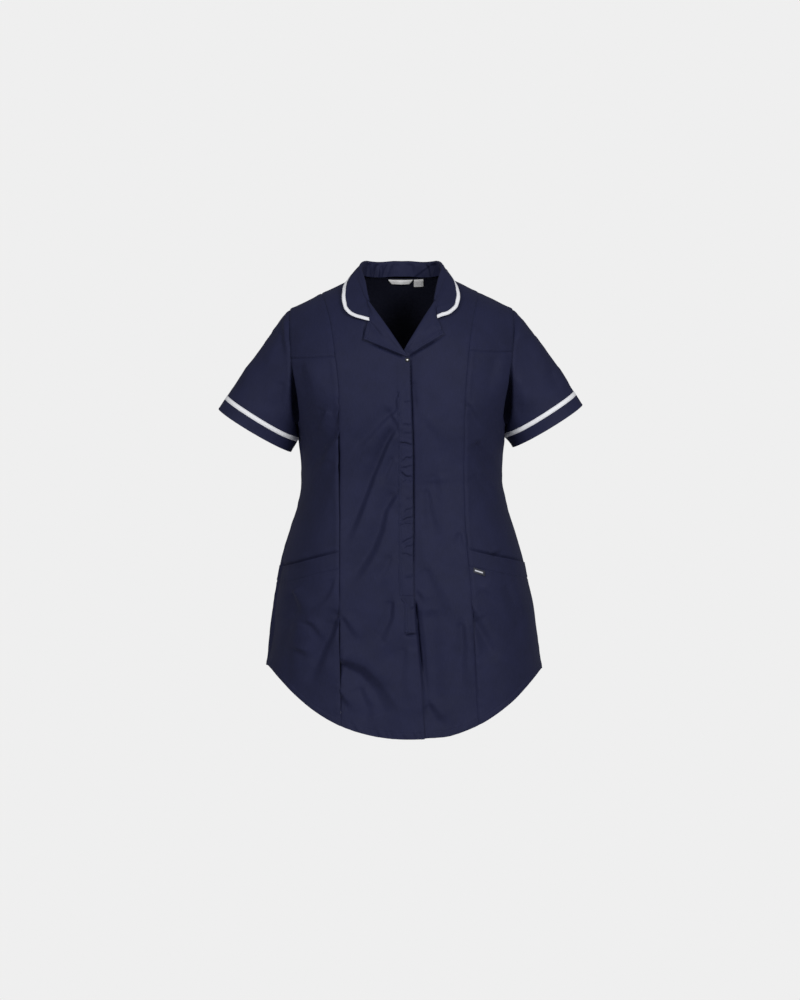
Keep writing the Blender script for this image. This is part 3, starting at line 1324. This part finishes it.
def make_pocket(side):
    """A hip pocket, laid on the side front from its slanted top band to the hem."""
    _, lower = side_patches(side)
    cloth = laid_out(lower, spacing(112, 2.0), spacing(250, 2.1))
    lift = front_lift(cloth, SIDE_FOLDS, ease(cloth.right / 12)) + POCKET_LIFT - 0.5
    at_seams = 0.7 * (bump(cloth.left, 2.5) + bump(cloth.right, 2.5))
    lift += seamed(cloth.left) + seamed(cloth.right, 0.9) - at_seams
    width = cloth.left + cloth.right
    lift -= HOLLOW[side] * np.sin(np.pi * cloth.left / width)
    gape = np.sin(np.pi * cloth.left / width) ** 2 * np.exp(-cloth.top / 16)
    lift += 3.2 * gape * (1 + 0.35 * uneven(cloth.left, cloth.left, 26, 71 + side))
    lift += 0.45 * ease((POCKET_BAND - cloth.top) / 1.6) - 0.8 * bump(cloth.top - POCKET_BAND, 1.4)
    lift += puckered(cloth.top - POCKET_BAND, cloth.left, 8, 7.5, 0.5, 73 + side)
    lift += 0.25 * bump(cloth.top - 1.5, 1.6)
    low_seam = mix(1.0, 2.4, ease((-570 - cloth.point[..., 2]) / 60))
    lift += low_seam * puckered(cloth.left, cloth.top, 8, 8.0, 0.4, 75 + side)
    lift += puckered(cloth.right, cloth.top, 8, 9.0, 0.4, 77 + side)
    lift += hemmed(cloth.bottom, cloth.left, HEM_BAND, 79 + side, 0.5 * ease(cloth.right / 40) * ease(cloth.left / 10))
    stitches = [(cloth.bottom - HEM_ROW, cloth.left), (cloth.top - POCKET_BAND, cloth.left)]
    name = f"hip_pocket_{SIDE_WORDS[side]}"
    piece = make_sheet(name, cloth, lifted(cloth, lift), finish("navy_polycotton_twill"), stitches)
    return piece, f"pocket_{SIDE_WORDS[side]}"


def make_fly():
    """The fly strip: the topstitched band beside the closing edge, stepped in above its low end."""
    shares, levels = spacing(24, 0.9), spacing(FLY_TOP - FLY_BOTTOM, 1.5)
    s, t = np.meshgrid(shares, levels)
    height = mix(FLY_TOP, FLY_BOTTOM, t)
    x = mix(straight_x(FLY_INNER, height), smooth_row(CLOSING_EDGE, height).x - 0.4, s)
    cloth = measured(form_point(*on_form(x, height)), outward)
    # Its top is pressed flat. Further down it comes up from the cloth at its stitched inner edge.
    raised = ease((FLY_FLAT - height) / 25)
    lift = front_lift(cloth) + mix(0.35, FLY_LIFT, raised)
    lift -= raised * (1.3 * bump(cloth.left, 1.4) + 0.5 * bump(cloth.left - 5.0, 0.9)) + 0.5 * bump(cloth.right, 0.9)
    lift += 0.6 * bump(cloth.bottom, 3.5) - 0.35 * bump(cloth.top, 1.5)
    lift += 0.35 * bump(cloth.right - 3, 2.5)
    for place, crinkle in enumerate(FLY_CRINKLES):
        wander = 1.8 * uneven(cloth.left, cloth.left, 7, 200 + place)
        line = height - crinkle.height - crinkle.slant * (cloth.left - 12) + wander
        reach = ease((cloth.left - crinkle.begin) / 6) * mix(1.0, 0.5, ease((cloth.left - 16) / 8))
        crease = np.exp(-(np.hypot(line, 0.8) - 0.8) / (0.55 * crinkle.width))
        lift += crinkle.depth * reach * (crease - 0.6 * bump(line - 1.8 * crinkle.width, crinkle.width))
    lift += raised * 0.5 * uneven(cloth.left * 0.5, cloth.top, 8, 81) * ease((20 - cloth.left) / 14)
    box = height - FLY_BOX
    lift -= 2.0 * bump(box, 1.4)
    # The rows of stitches: two down its inner edge, below its flat top, and one across each end of its lower box.
    too_high = 1000 * (height > FLY_FLAT - 6)
    stitches = [(cloth.left - 1.0 + too_high, cloth.top), (cloth.left - 5.0 + too_high, cloth.top), (box, cloth.left)]
    stitches.append((cloth.bottom - 3.0, cloth.left))
    piece = make_sheet("fly_placket", cloth, lifted(cloth, lift), finish("navy_polycotton_twill"), stitches, thick=0.7)
    return piece, "fly_strip"


def make_lapel(side):
    """A rever: rolled over the neck edge, its outer edges standing a little off the front."""
    corners = Lapel(*(np.array(corner, float) for corner in LAPEL[side]))
    s, t = np.meshgrid(spacing(62, 1.1), spacing(100, 1.1))
    s3, t3 = s[..., None], t[..., None]
    # The roll line turns a corner where the neck opening ends.
    upper = mix(corners.roll_top, corners.roll_low, np.minimum(1.0, t3 / LAPEL_TURN))
    rolled = mix(upper, corners.low_end, np.clip((t3 - LAPEL_TURN) / (1 - LAPEL_TURN), 0, 1))
    flat = mix(rolled, mix(corners.gorge_end, corners.tip, t3), s3)
    cloth = measured(form_point(*on_form(flat[..., 0], flat[..., 1])), outward)
    height = cloth.point[..., 2]
    lift = front_lift(cloth) + 1.9
    # Near its low end it lies flat, and the left one slips below the right front.
    free = ease((height - V_POINT.height + 4) / 16)
    if side > 0:
        inside = smooth_row(CLOSING_EDGE, height).x + OVERLAP_MARGIN + OVERLAP_BLEND - cloth.point[..., 0]
        below = ease((V_POINT.height + 12 - height) / 20)
        lift -= (OVERLAP_SINK + 1.8) * ease(inside / OVERLAP_BLEND) * below
    roll = np.clip(1 - cloth.left / 5.0, 0, 1)
    lift += free * (1.6 * bump(cloth.left - 6, 5) - 3.2 * roll**2)
    lift += 1.9 * bump(cloth.right, 9) * ease(cloth.left / 14) + 1.3 * bump(cloth.bottom, 9) * ease(cloth.left / 22)
    lift -= 0.4 * bump(cloth.right - 4.5, 1.0) + 0.3 * bump(cloth.bottom - 4.5, 1.0)
    lift += 0.7 * uneven(cloth.left, cloth.top, 18, 91 + side)
    lift += folded(LAPEL_FOLDS[side], flat[..., 0], flat[..., 1])
    stitches = [(cloth.right - 4.5, cloth.top), (cloth.bottom - 4.5, cloth.left)]
    done = lifted(cloth, lift)
    # The roll swings a little past the neck edge before it turns under.
    swing = (free * bump(cloth.left - 2.2, 2.4) * 2.4)[..., None]
    across = unit(np.gradient(cloth.point, axis=1))
    done = done - across * swing
    name = f"rever_{SIDE_WORDS[side]}"
    piece = make_sheet(name, cloth, done, finish("navy_polycotton_twill"), stitches, thick=1.3)
    return piece, f"lapel_{SIDE_WORDS[side]}"


def ridge_point(x, drop, lift):
    """A point off the form near the shoulders, from its x and its drop over the front, or the back if negative."""
    height = shoulder_height(x) - SHOULDER_ROLL * (1 - np.cos(drop / SHOULDER_ROLL))
    around = on_form(x, height, back=drop < 0)[0]
    return off_form(around, np.abs(drop), np.full(np.shape(x), lift))


def collar_lines(shares):
    """The collar's neck seam, roll, the fold over it and its outer edge, at each share from -1 at the right front end
    over the back to 1 at the left front end."""
    share, side = np.abs(shares), np.where(shares < 0, -1.0, 1.0)
    row = smooth_row(COLLAR, share)
    # Across the back middle the rows run level.
    level_row = smooth_row(COLLAR, np.hypot(share, 0.06) - 0.01 * (1 - share))
    keep = ease((share - 0.1) / 0.1)
    row = row._replace(
        neck_drop=mix(level_row.neck_drop, row.neck_drop, keep), stand=mix(level_row.stand, row.stand, keep)
    )
    edges = [smooth_row(COLLAR_BEHIND + COLLAR_LEAF[word], share) for word in (-1, 1)]
    edge_x, edge_drop = (np.where(side < 0, *pair) for pair in zip(*(edge[1:] for edge in edges)))
    soft_share = np.hypot(share, 0.1) - 0.1 * (1 - share)
    edge_drop = mix(smooth_row(COLLAR_BEHIND, soft_share).drop, edge_drop, ease((share - 0.12) / 0.2))
    up = np.array([0.0, 0.0, 1.0])
    neck = ridge_point(row.neck_x, row.neck_drop, COLLAR_NECK_LIFT)
    inward = unit(-neck * np.array([1.0, 1.0, 0.0]))
    shift_in, shift_up = COLLAR_NECK_SHIFT
    neck = neck + inward * shift_in + up * shift_up
    stand = row.stand[:, None]
    roll = neck + up * stand + inward * (COLLAR_LEAN * stand)
    edge = ridge_point(edge_x, edge_drop, COLLAR_EDGE_LIFT)
    out = unit((edge - roll) * np.array([1.0, 1.0, 0.0]))
    over = roll + out * COLLAR_ROLL - up
    return side[:, None] * np.array([1.0, 0, 0]) + np.array([0, 1.0, 1.0]), neck, roll, over, edge, out


def collar_grid(shares):
    """The collar's underside, one row for each level up the stand, over the roll and down the fall. The fall's last
    rows lie under the tape, the same distance from the edge all round. Also how far each row has come."""
    mirror, neck, roll, over, edge, out = collar_lines(shares)
    up = np.array([0.0, 0.0, 1.0])
    rise_end, fall_start = mix(neck, roll, 0.86), mix(over, edge, 0.07)
    fall_length = np.linalg.norm(edge - fall_start, axis=-1)
    along = unit(np.gradient(edge, axis=0))
    slant = np.sqrt(1 - np.minimum(0.8, np.sum(along * unit(edge - fall_start), axis=-1) ** 2))
    tape = 1 - COLLAR_TAPE / (fall_length * slant)
    rows, progress = [], []
    for level in np.linspace(0, 1, STAND_ROWS)[:-1]:
        rows.append(mix(neck, rise_end, level))
        progress.append(level)
    for share in np.linspace(0, 1, ROLL_ROWS)[:-1]:
        # A smooth bend from the stand over the roll into the fall.
        rise, drop = roll + up * 1.2, over + up * 1.6
        bend = (1 - share) ** 3 * rise_end + 3 * share * (1 - share) ** 2 * rise
        rows.append(bend + 3 * share**2 * (1 - share) * drop + share**3 * fall_start)
        progress.append(1 + share)
    falls = [tape * share for share in np.linspace(0, 1, FALL_ROWS)[:-1]]
    falls += [mix(tape, 1.0, share) for share in np.linspace(0, 1, COLLAR_TAPE_ROWS)]
    for fall in falls:
        belly = unit(out + up * 0.7) * (np.sin(np.pi * fall) * COLLAR_BELLY)[:, None]
        rows.append(mix(fall_start, edge, fall[:, None]) + belly)
        progress.append(2 + float(fall.mean()))
    return np.array(rows) * mirror, np.array(progress)


def make_collar():
    """The collar: stand, roll and fall in one sheet, with rounded leaves at the front."""
    shares = np.linspace(-1, 1, 361)
    grid, progress = collar_grid(shares)
    cloth = measured(grid, lambda point: np.array([0.0, 1.0, 0.6]))
    level, share = np.meshgrid(progress, shares, indexing="ij")
    x, around = cloth.point[..., 0], cloth.left
    on_fall, on_stand = ease((level - 1.9) / 0.2), ease((1.1 - level) / 0.2)
    lift = np.full(level.shape, COLLAR_CLOTH)
    # The stand crumples where the neck bends it, most on the right, and a slanted fold crosses it on the left.
    lift += on_stand * (0.9 * uneven(x, level * 9, 13, 101) + 0.7 * uneven(x, level * 14, 6, 102))
    for crumple in STAND_CRUMPLES:
        line = x - crumple.x - crumple.slant * (level - 0.5)
        crease = np.exp(-(np.hypot(line, 1.0) - 1.0) / crumple.width)
        lift += on_stand * crumple.depth * (crease - 0.6 * bump(line - 2.4 * crumple.width, 1.6 * crumple.width))
    past = x - 34.5 - 28 * (level - 0.5)
    lift -= on_stand * 2.6 * ease(past / 4) * ease((26 - past) / 20)
    # Beside the roll each leaf breaks: a raised strip, then a soft valley.
    in_front = ease((np.abs(share) - 0.7) / 0.14)
    from_roll = cloth.top - cloth.top[STAND_ROWS + ROLL_ROWS - 2]
    lift += in_front * ease((level - 1.6) / 0.4) * (0.8 * bump(from_roll - 4, 4) - 1.3 * bump(from_roll - 12, 5))
    lift += on_fall * (0.6 * uneven(around, cloth.bottom, 24, 103) + 0.25 * uneven(around, cloth.bottom, 10, 104))
    lift += on_fall * 0.5 * bump(cloth.bottom - 1.0, 2.0)
    lift += on_fall * puckered(cloth.bottom - COLLAR_TAPE, around, 5, 7.0, 0.3, 105)
    piece = make_sheet("rever_collar", cloth, lifted(cloth, lift), finish("navy_polycotton_twill"), thick=1.4)
    return piece, "collar"


def make_collar_tape():
    """White tape on the collar's fall, along its outer edge."""
    cloth = laid_on("rever_collar", rows=slice(-COLLAR_TAPE_ROWS, None))
    lift = np.full(cloth.left.shape, TAPE_LIFT) - 0.3 * bump(cloth.top, 0.8) - 0.25 * bump(cloth.bottom, 0.8)
    lift += 0.12 * uneven(cloth.left, cloth.top, 6, 111)
    point, rows = lifted(cloth, lift), edge_rows(cloth)
    return make_sheet("collar_edge_tape", cloth, point, finish("white_woven_tape"), rows, thick=0.5), "collar_tape"


def armhole_point(side, turn):
    """The armhole's edge. turn is 0 at the shoulder tip, a quarter at the front and a half at the underarm."""
    tip = shoulder_height(SHOULDER_TIP_X)
    middle, half = (tip + UNDERARM) / 2, (tip - UNDERARM) / 2
    height = middle + half * np.cos(turn)
    x = side * smooth_row(ARMHOLE, height).x
    around, drop = on_form(x, height)
    narrow = np.where(np.cos(turn) < 0, armhole_narrowing(height), 1.0)
    around = mix(float(side), around, narrow)
    around = np.where(np.sin(turn) < 0, 2 * side - around, around)
    return form_point(np.where(around < -2, around + 4, around), drop)


def sleeve_surface(side, turn, share):
    """The sleeve's inner surface, from the armhole (share = 0) to the cuff (share = 1)."""
    cuff = CUFFS[side]
    start = armhole_point(side, turn)
    across, round_it, share = np.cos(turn)[..., None], np.sin(turn)[..., None], share[..., None]
    under = (1 - across) / 2
    middle_height = (shoulder_height(SHOULDER_TIP_X) + UNDERARM) / 2
    centre = start * np.array([1.0, 0.0, 0.0]) + np.array([0.0, 0.0, middle_height])
    start = start + unit(centre - start) * (CLOTH + UNDERARM_TUCK * under**3)
    outer = np.array([cuff.outer_x, 0, cuff.outer_height], float)
    inner = np.array([cuff.inner_x, 0, cuff.inner_height], float)
    middle, reach = (outer + inner) / 2, (outer - inner) / 2
    axis = unit(np.array([reach[2], 0, -reach[0]])) * side
    stop = middle + reach * across - np.array([0, CUFF_HALF_DEPTH, 0]) * round_it
    stop = stop + axis * (CUFF_BOW * np.abs(round_it))
    # The underside hangs straight down along the body, and leaves it only at the hem.
    close = under**8
    down = mix(-0.5, -0.15, under)
    leave = np.concatenate([np.full_like(down, side), np.zeros_like(down), down], axis=-1)
    leave_down = np.array([-side * 0.1, 0, -1.0]) * UNDERARM_LEAVE
    leave = mix(leave * mix(cuff.top_pull, SLEEVE_UNDER_PULL, under), leave_down, close)
    arrive = axis * mix(mix(SLEEVE_CUFF_PULL, SLEEVE_UNDER_PULL, under), UNDERARM_ARRIVE, close)
    point = mix(start, stop, ease(share)) + leave * (share * (1 - share) ** 2)
    return point + arrive * (share * share * (share - 1))


def sleeve_shares(side, turns):
    """The shares of each row of the sleeve at each turn: the tape and hem lie the same distance from the cuff."""
    fine = np.linspace(0, 1, 241)
    turn, share = np.meshgrid(turns, fine)
    points = sleeve_surface(side, turn, share)
    steps = np.linalg.norm(np.diff(points, axis=0), axis=-1)
    to_cuff = np.pad(np.cumsum(steps[::-1], axis=0)[::-1], ((0, 1), (0, 0)))
    tape_rows = np.linspace(SLEEVE_HEM + TAPE_WIDTH, SLEEVE_HEM, CUFF_TAPE_ROWS)[:-1]
    low_rows = np.concatenate([tape_rows, np.linspace(SLEEVE_HEM, 0, CUFF_HEM_ROWS)])
    ends = [np.interp(low_rows, to_cuff[::-1, column], fine[::-1]) for column in range(len(turns))]
    ends = np.array(ends).T
    high_rows = spacing(150, 2.3, fine_stop=False)[:-1]
    return np.concatenate([high_rows[:, None] * ends[:1], ends])


def make_sleeve(side):
    """A short sleeve with a turned cuff hem. Its own seam runs along its underside."""
    turns = np.pi + np.linspace(0, math.tau, 177)
    shares = sleeve_shares(side, turns)
    turn = np.broadcast_to(turns, shares.shape)

    def facing(point):
        return point - np.array([side * 245.0, 0.0, -200.0])

    cloth = measured(sleeve_surface(side, turn, shares), facing)
    join_ends(cloth.normal)
    x, y, height = np.moveaxis(cloth.point, -1, 0)
    front = ease(0.5 - y / 24)
    lift = CLOTH + front * folded(SLEEVE_FOLDS[side, True], side * x, height, side)
    lift += (1 - front) * folded(SLEEVE_FOLDS[side, False], side * x, height, side)
    lumps = 0.5 * uneven(x, height, 30, 121 + side) + 0.2 * uneven(x, height, 12, 123 + side)
    lift += lumps * mix(1.0, 0.3, ease((20 - cloth.bottom) / 20))
    lift += 0.5 * bump(cloth.top - 7, 4) - 0.7 * bump(cloth.top, 1.6)
    lift -= hollow_at_armhole(cloth.top, armhole_point(side, turn)[..., 2], np.sin(turn))
    seam = np.minimum(cloth.left, cloth.right)
    lift += -0.6 * bump(seam, 1.5) + 0.25 * bump(seam - 6, 3.5)
    lift += 0.4 * ease((SLEEVE_HEM + 0.6 - cloth.bottom) / 1.2) + 0.3 * bump(cloth.bottom - 1.2, 1.5)
    flat_seam = bump(seam, 3.0)
    lift += puckered(cloth.bottom - SLEEVE_HEM, x * 0.6 + height, 6, 8.0, 0.3, 125 + side) * (1 - flat_seam)
    name = f"short_sleeve_{SIDE_WORDS[side]}"
    point = lifted(cloth, lift)
    point[:, -1] = point[:, 0]
    piece = make_sheet(name, cloth, point, finish("navy_polycotton_twill"), closed=True)
    join_ends(SHEETS[name].normal)
    return piece, f"sleeve_{SIDE_WORDS[side]}"


def make_cuff_tape(side):
    """White tape round the sleeve, just above its hem."""
    name = f"short_sleeve_{SIDE_WORDS[side]}"
    cloth = laid_on(name, rows=slice(1 - CUFF_TAPE_ROWS - CUFF_HEM_ROWS, 1 - CUFF_HEM_ROWS))
    lift = TAPE_LIFT - 0.3 * bump(cloth.top, 0.8) - 0.3 * bump(cloth.bottom, 0.8)
    lift = lift + 0.1 * uneven(cloth.point[..., 0], cloth.point[..., 2], 6, 131)
    point = lifted(cloth, lift)
    point[:, -1] = point[:, 0]
    tape = f"cuff_tape_{SIDE_WORDS[side]}"
    piece = make_sheet(tape, cloth, point, finish("white_woven_tape"), edge_rows(cloth), thick=0.5, closed=True)
    return piece, f"sleeve_{SIDE_WORDS[side]}_tape"


def make_label(node):
    """A label inside the back neck, sewn along its top edge and hanging just clear of the cloth."""
    middle, top_width, low_width, length = LABELS[node]
    s, t = np.meshgrid(spacing(top_width, 0.9, False, False), spacing(length, 0.7, False, False))
    x = middle + (s - 0.5) * mix(top_width, low_width, t)
    height = BACK_NECK_HEIGHT - 2 - length * t
    cloth = measured(form_point(*on_form(x, height, back=True)), lambda point: -outward(point))
    lift = LABEL_GAP - 0.8 * bump(cloth.top, 2.0) + 0.5 * np.sin(np.pi * s) * t + 0.2 * uneven(x, height, 6, 141)
    stitches = [(cloth.top - 1.2, cloth.left)]
    return small_sheet(f"woven_{node}", cloth, lift, stitches, finish("woven_label_satin"), 0.4), node


def make_tab():
    """The small woven tab on the left pocket's band."""
    x, height = POCKET_TAB
    width, length = POCKET_TAB_SIZE
    s, t = np.meshgrid(spacing(width, 0.6, False, False), spacing(length, 0.6, False, False))
    at_x = x + (s - 0.5) * width
    at_height = height + (s - 0.5) * width * POCKET_TAB_SLANT - (t - 0.5) * length
    cloth = measured(form_point(*on_form(at_x, at_height)), outward)
    lift = front_lift(cloth, SIDE_FOLDS) + POCKET_LIFT + 1.6 - HOLLOW[1] * 0.55
    lift = lift - 0.5 * bump(np.minimum(cloth.left, cloth.right), 0.7)
    return small_sheet("pocket_edge_tab", cloth, lift, [], finish("woven_tab"), 0.6), "pocket_tab"


def turned_piece(name, profile, material, place, direction):
    """A round piece: its profile, as (radius, height) from its middle out, spun about its axis and set in place."""
    mesh = bmesh.new()
    points = [mesh.verts.new((radius * MM, 0, height * MM)) for radius, height in profile]
    edges = [mesh.edges.new(pair) for pair in zip(points, points[1:])]
    bmesh.ops.spin(
        mesh, geom=points + edges, cent=(0, 0, 0), axis=(0, 0, 1), angle=math.tau, steps=40, use_merge=True
    )
    bmesh.ops.remove_doubles(mesh, verts=mesh.verts[:], dist=1e-6)
    bmesh.ops.recalc_face_normals(mesh, faces=mesh.faces[:])
    turn = Vector((0, 0, 1)).rotation_difference(Vector(direction)).to_matrix().to_4x4()
    bmesh.ops.transform(mesh, matrix=Matrix.Translation(Vector(place) * MM) @ turn, verts=mesh.verts[:])
    data = bpy.data.meshes.new(name)
    mesh.to_mesh(data)
    mesh.free()
    data.shade_smooth()
    data.set_sharp_from_angle(angle=math.radians(40))
    data.materials.append(material)
    piece = bpy.data.objects.new(name, data)
    bpy.context.scene.collection.objects.link(piece)
    return piece


# --- the add-on ------------------------------------------------------------------------------------------------


class TunicColours(bpy.types.PropertyGroup):
    navy: bpy.props.FloatVectorProperty(
        name="Navy", description="The twill's colour", subtype="COLOR", size=4, min=0, max=1, default=linear("1D203C")
    )
    navy_shade: bpy.props.FloatVectorProperty(
        name="Navy shade", description="The twill where it is worn or pulled in", subtype="COLOR", size=4, min=0, max=1,
        default=linear("1A1D36"),
    )
    navy_light: bpy.props.FloatVectorProperty(
        name="Navy light", description="The twill's paler threads", subtype="COLOR", size=4, min=0, max=1,
        default=linear("25284A"),
    )
    thread: bpy.props.FloatVectorProperty(
        name="Thread", description="The sewing thread's colour", subtype="COLOR", size=4, min=0, max=1,
        default=linear("292D4E"),
    )
    tape_white: bpy.props.FloatVectorProperty(
        name="Tape white", description="The tape's colour", subtype="COLOR", size=4, min=0, max=1,
        default=linear("F6F7FB"),
    )
    label_colour: bpy.props.FloatVectorProperty(
        name="Label", description="The labels' colour", subtype="COLOR", size=4, min=0, max=1, default=linear("FAFAFA")
    )


class TunicStage(bpy.types.PropertyGroup):
    background: bpy.props.FloatVectorProperty(
        name="Background", description="The backdrop's colour", subtype="COLOR", size=4, min=0, max=1,
        default=linear("EFEFEF"),
    )
    floor_colour: bpy.props.FloatVectorProperty(
        name="Floor", description="The floor's colour", subtype="COLOR", size=4, min=0, max=1, default=linear("D8D8D8")
    )
    floor_height: bpy.props.FloatProperty(
        name="Floor height", description="The floor's height", unit="LENGTH", default=-1.6
    )
    floor_radius: bpy.props.FloatProperty(
        name="Floor radius", description="How far the floor reaches", unit="LENGTH", min=0.5, default=1.75
    )
    spill: bpy.props.FloatProperty(
        name="Backdrop spill", description="How much of the backdrop's light reaches the garment", min=0, default=0.25
    )
    key_power: bpy.props.FloatProperty(
        name="Key light", description="The main softbox's power", unit="POWER", min=0, default=67
    )
    fill_power: bpy.props.FloatProperty(
        name="Fill light", description="The fill softbox's power", unit="POWER", min=0, default=47
    )
    back_power: bpy.props.FloatProperty(
        name="Back light", description="The softbox behind the garment", unit="POWER", min=0, default=53
    )
    lens: bpy.props.FloatProperty(
        name="Lens", description="The camera's focal length", unit="CAMERA", min=20, default=600 / 7
    )
    distance: bpy.props.FloatProperty(
        name="Camera distance", description="From the camera to the garment's middle", unit="LENGTH", min=1, default=4.0
    )


class TUNIC_OT_fronts(bpy.types.Operator):
    """Make the centre fronts, the side fronts and the yokes"""

    bl_idname = "tunic.fronts"
    bl_label = "Fronts"

    def execute(self, context):
        for side in (-1, 1):
            for maker in (make_centre_front, make_side_front, make_yoke):
                settle_sheet(maker(side))
        return {"FINISHED"}


class TUNIC_OT_back(bpy.types.Operator):
    """Make the back"""

    bl_idname = "tunic.back"
    bl_label = "Back"

    def execute(self, context):
        settle_sheet(make_back())
        return {"FINISHED"}


class TUNIC_OT_pockets(bpy.types.Operator):
    """Make the hip pockets on the side fronts"""

    bl_idname = "tunic.pockets"
    bl_label = "Pockets"

    def execute(self, context):
        for side, word in SIDE_WORDS.items():
            settle_sheet(make_pocket(side))
        return {"FINISHED"}


class TUNIC_OT_fly(bpy.types.Operator):
    """Make the fly strip beside the closing edge"""

    bl_idname = "tunic.fly"
    bl_label = "Fly strip"

    def execute(self, context):
        settle_sheet(make_fly())
        return {"FINISHED"}


class TUNIC_OT_revers(bpy.types.Operator):
    """Make the two revers below the collar"""

    bl_idname = "tunic.revers"
    bl_label = "Revers"

    def execute(self, context):
        for side, word in SIDE_WORDS.items():
            settle_sheet(make_lapel(side))
        return {"FINISHED"}


class TUNIC_OT_collar(bpy.types.Operator):
    """Make the collar and its white tape"""

    bl_idname = "tunic.collar"
    bl_label = "Collar"

    def execute(self, context):
        settle_sheet(make_collar())
        settle_sheet(make_collar_tape())
        return {"FINISHED"}


class TUNIC_OT_sleeves(bpy.types.Operator):
    """Make the short sleeves and their white tapes"""

    bl_idname = "tunic.sleeves"
    bl_label = "Sleeves"

    def execute(self, context):
        for side, word in SIDE_WORDS.items():
            settle_sheet(make_sleeve(side))
            settle_sheet(make_cuff_tape(side))
        return {"FINISHED"}


class TUNIC_OT_labels(bpy.types.Operator):
    """Make the two blank labels in the back neck and the pocket's tab"""

    bl_idname = "tunic.labels"
    bl_label = "Labels"

    def execute(self, context):
        for node in LABELS:
            settle_sheet(make_label(node))
        settle_sheet(make_tab())
        return {"FINISHED"}


class TUNIC_OT_stud(bpy.types.Operator):
    """Make the press stud's ring and cap at the neck opening's base"""

    bl_idname = "tunic.stud"
    bl_label = "Press stud"

    def execute(self, context):
        x, height = STUD_AT
        around, drop = on_form(np.array(x), np.array(height))
        base, above = (off_form(around, drop, np.array(CLOTH + lift)) for lift in (0.2, 1.2))
        direction = above - base
        # A rolled ring with a domed cap inside it.
        ring = ((1.7, 1.0), (2.0, 1.35), (2.7, 1.5), (3.3, 1.2), (STUD_RADIUS, 0.7), (3.5, 0.2), (3.0, 0.0), (1.7, 0.0))
        cap = ((0.0, 1.9), (0.6, 1.86), (1.1, 1.7), (1.5, 1.4), (1.7, 0.95), (1.75, 0.3), (0.0, 0.3))
        for name, profile, material in (
            ("stud_ring", ring + ring[:1], finish("dark_enamel_ring")),
            ("stud_cap", cap, finish("nickel_plated_cap")),
        ):
            piece = turned_piece(name, profile, material, base, direction)
            settle(piece, "neck_stud")
        return {"FINISHED"}


class TUNIC_OT_stage(bpy.types.Operator):
    """Set up the floor, the plain backdrop, the soft lights and the camera"""

    bl_idname = "tunic.stage"
    bl_label = "Stage"

    def execute(self, context):
        scene = context.scene
        stage = scene.tunic_stage
        scene.view_settings.view_transform = "Standard"
        world = bpy.data.worlds.new("plain_backdrop")
        world.use_nodes = True
        tree = world.node_tree
        seen = tree.nodes["Background"]
        seen.inputs["Color"].default_value = stage.background
        # The backdrop is lit on its own, so the garment gets only a little of it.
        spill = add_node(tree, "ShaderNodeBackground", inputs={"Color": stage.background, "Strength": stage.spill})
        path = add_node(tree, "ShaderNodeLightPath")
        both = add_node(tree, "ShaderNodeMixShader", inputs={0: path.outputs["Is Camera Ray"], 1: spill.outputs[0]})
        tree.links.new(seen.outputs[0], both.inputs[2])
        tree.links.new(both.outputs[0], tree.nodes["World Output"].inputs["Surface"])
        scene.world = world
        mesh = bmesh.new()
        bmesh.ops.create_circle(mesh, cap_ends=True, segments=96, radius=stage.floor_radius)
        bmesh.ops.translate(mesh, vec=(0, 0, stage.floor_height), verts=mesh.verts[:])
        data = bpy.data.meshes.new("floor")
        mesh.to_mesh(data)
        mesh.free()
        data.materials.append(finish("pale_painted_floor"))
        floor = bpy.data.objects.new("floor", data)
        scene.collection.objects.link(floor)
        for softbox in SOFTBOXES:
            light = bpy.data.lights.new(softbox.name, "AREA")
            light.shape, light.size, light.energy = "SQUARE", softbox.size, getattr(stage, softbox.power)
            lamp = bpy.data.objects.new(softbox.name, light)
            lamp.location = softbox.place
            lamp.rotation_euler = (Vector(LIT_MIDDLE) - Vector(softbox.place)).to_track_quat("-Z", "Y").to_euler()
            lamp.visible_camera = False
            scene.collection.objects.link(lamp)
        lens = bpy.data.cameras.new("camera")
        lens.lens, lens.sensor_width = stage.lens, 36
        camera = bpy.data.objects.new("camera", lens)
        camera.location = (CAMERA_X, -stage.distance, CAMERA_HEIGHT)
        camera.rotation_euler = (QUARTER, 0, 0)
        scene.collection.objects.link(camera)
        scene.camera = camera
        return {"FINISHED"}


MAKERS = (
    TUNIC_OT_fronts,
    TUNIC_OT_back,
    TUNIC_OT_pockets,
    TUNIC_OT_fly,
    TUNIC_OT_revers,
    TUNIC_OT_collar,
    TUNIC_OT_sleeves,
    TUNIC_OT_labels,
    TUNIC_OT_stud,
    TUNIC_OT_stage,
)


class TUNIC_PT_tunic(bpy.types.Panel):
    """The tunic's pieces, colours and stage"""

    bl_idname = "TUNIC_PT_tunic"
    bl_label = "Maternity Tunic"
    bl_space_type = "VIEW_3D"
    bl_region_type = "UI"
    bl_category = "Tunic"

    def draw(self, context):
        for group in (context.scene.tunic, context.scene.tunic_stage):
            box = self.layout.box()
            for name in group.__annotations__:
                box.prop(group, name)
        for maker in MAKERS:
            self.layout.operator(maker.bl_idname)


CLASSES = (TunicColours, TunicStage, *MAKERS, TUNIC_PT_tunic)


def register():
    for each in CLASSES:
        bpy.utils.register_class(each)
    bpy.types.Scene.tunic = bpy.props.PointerProperty(type=TunicColours)
    bpy.types.Scene.tunic_stage = bpy.props.PointerProperty(type=TunicStage)


def unregister():
    del bpy.types.Scene.tunic_stage
    del bpy.types.Scene.tunic
    for each in reversed(CLASSES):
        bpy.utils.unregister_class(each)


def main():
    register()
    for maker in MAKERS:
        name = maker.bl_idname.split(".")[1]
        getattr(bpy.ops.tunic, name)()


if __name__ == "__main__":
    main()
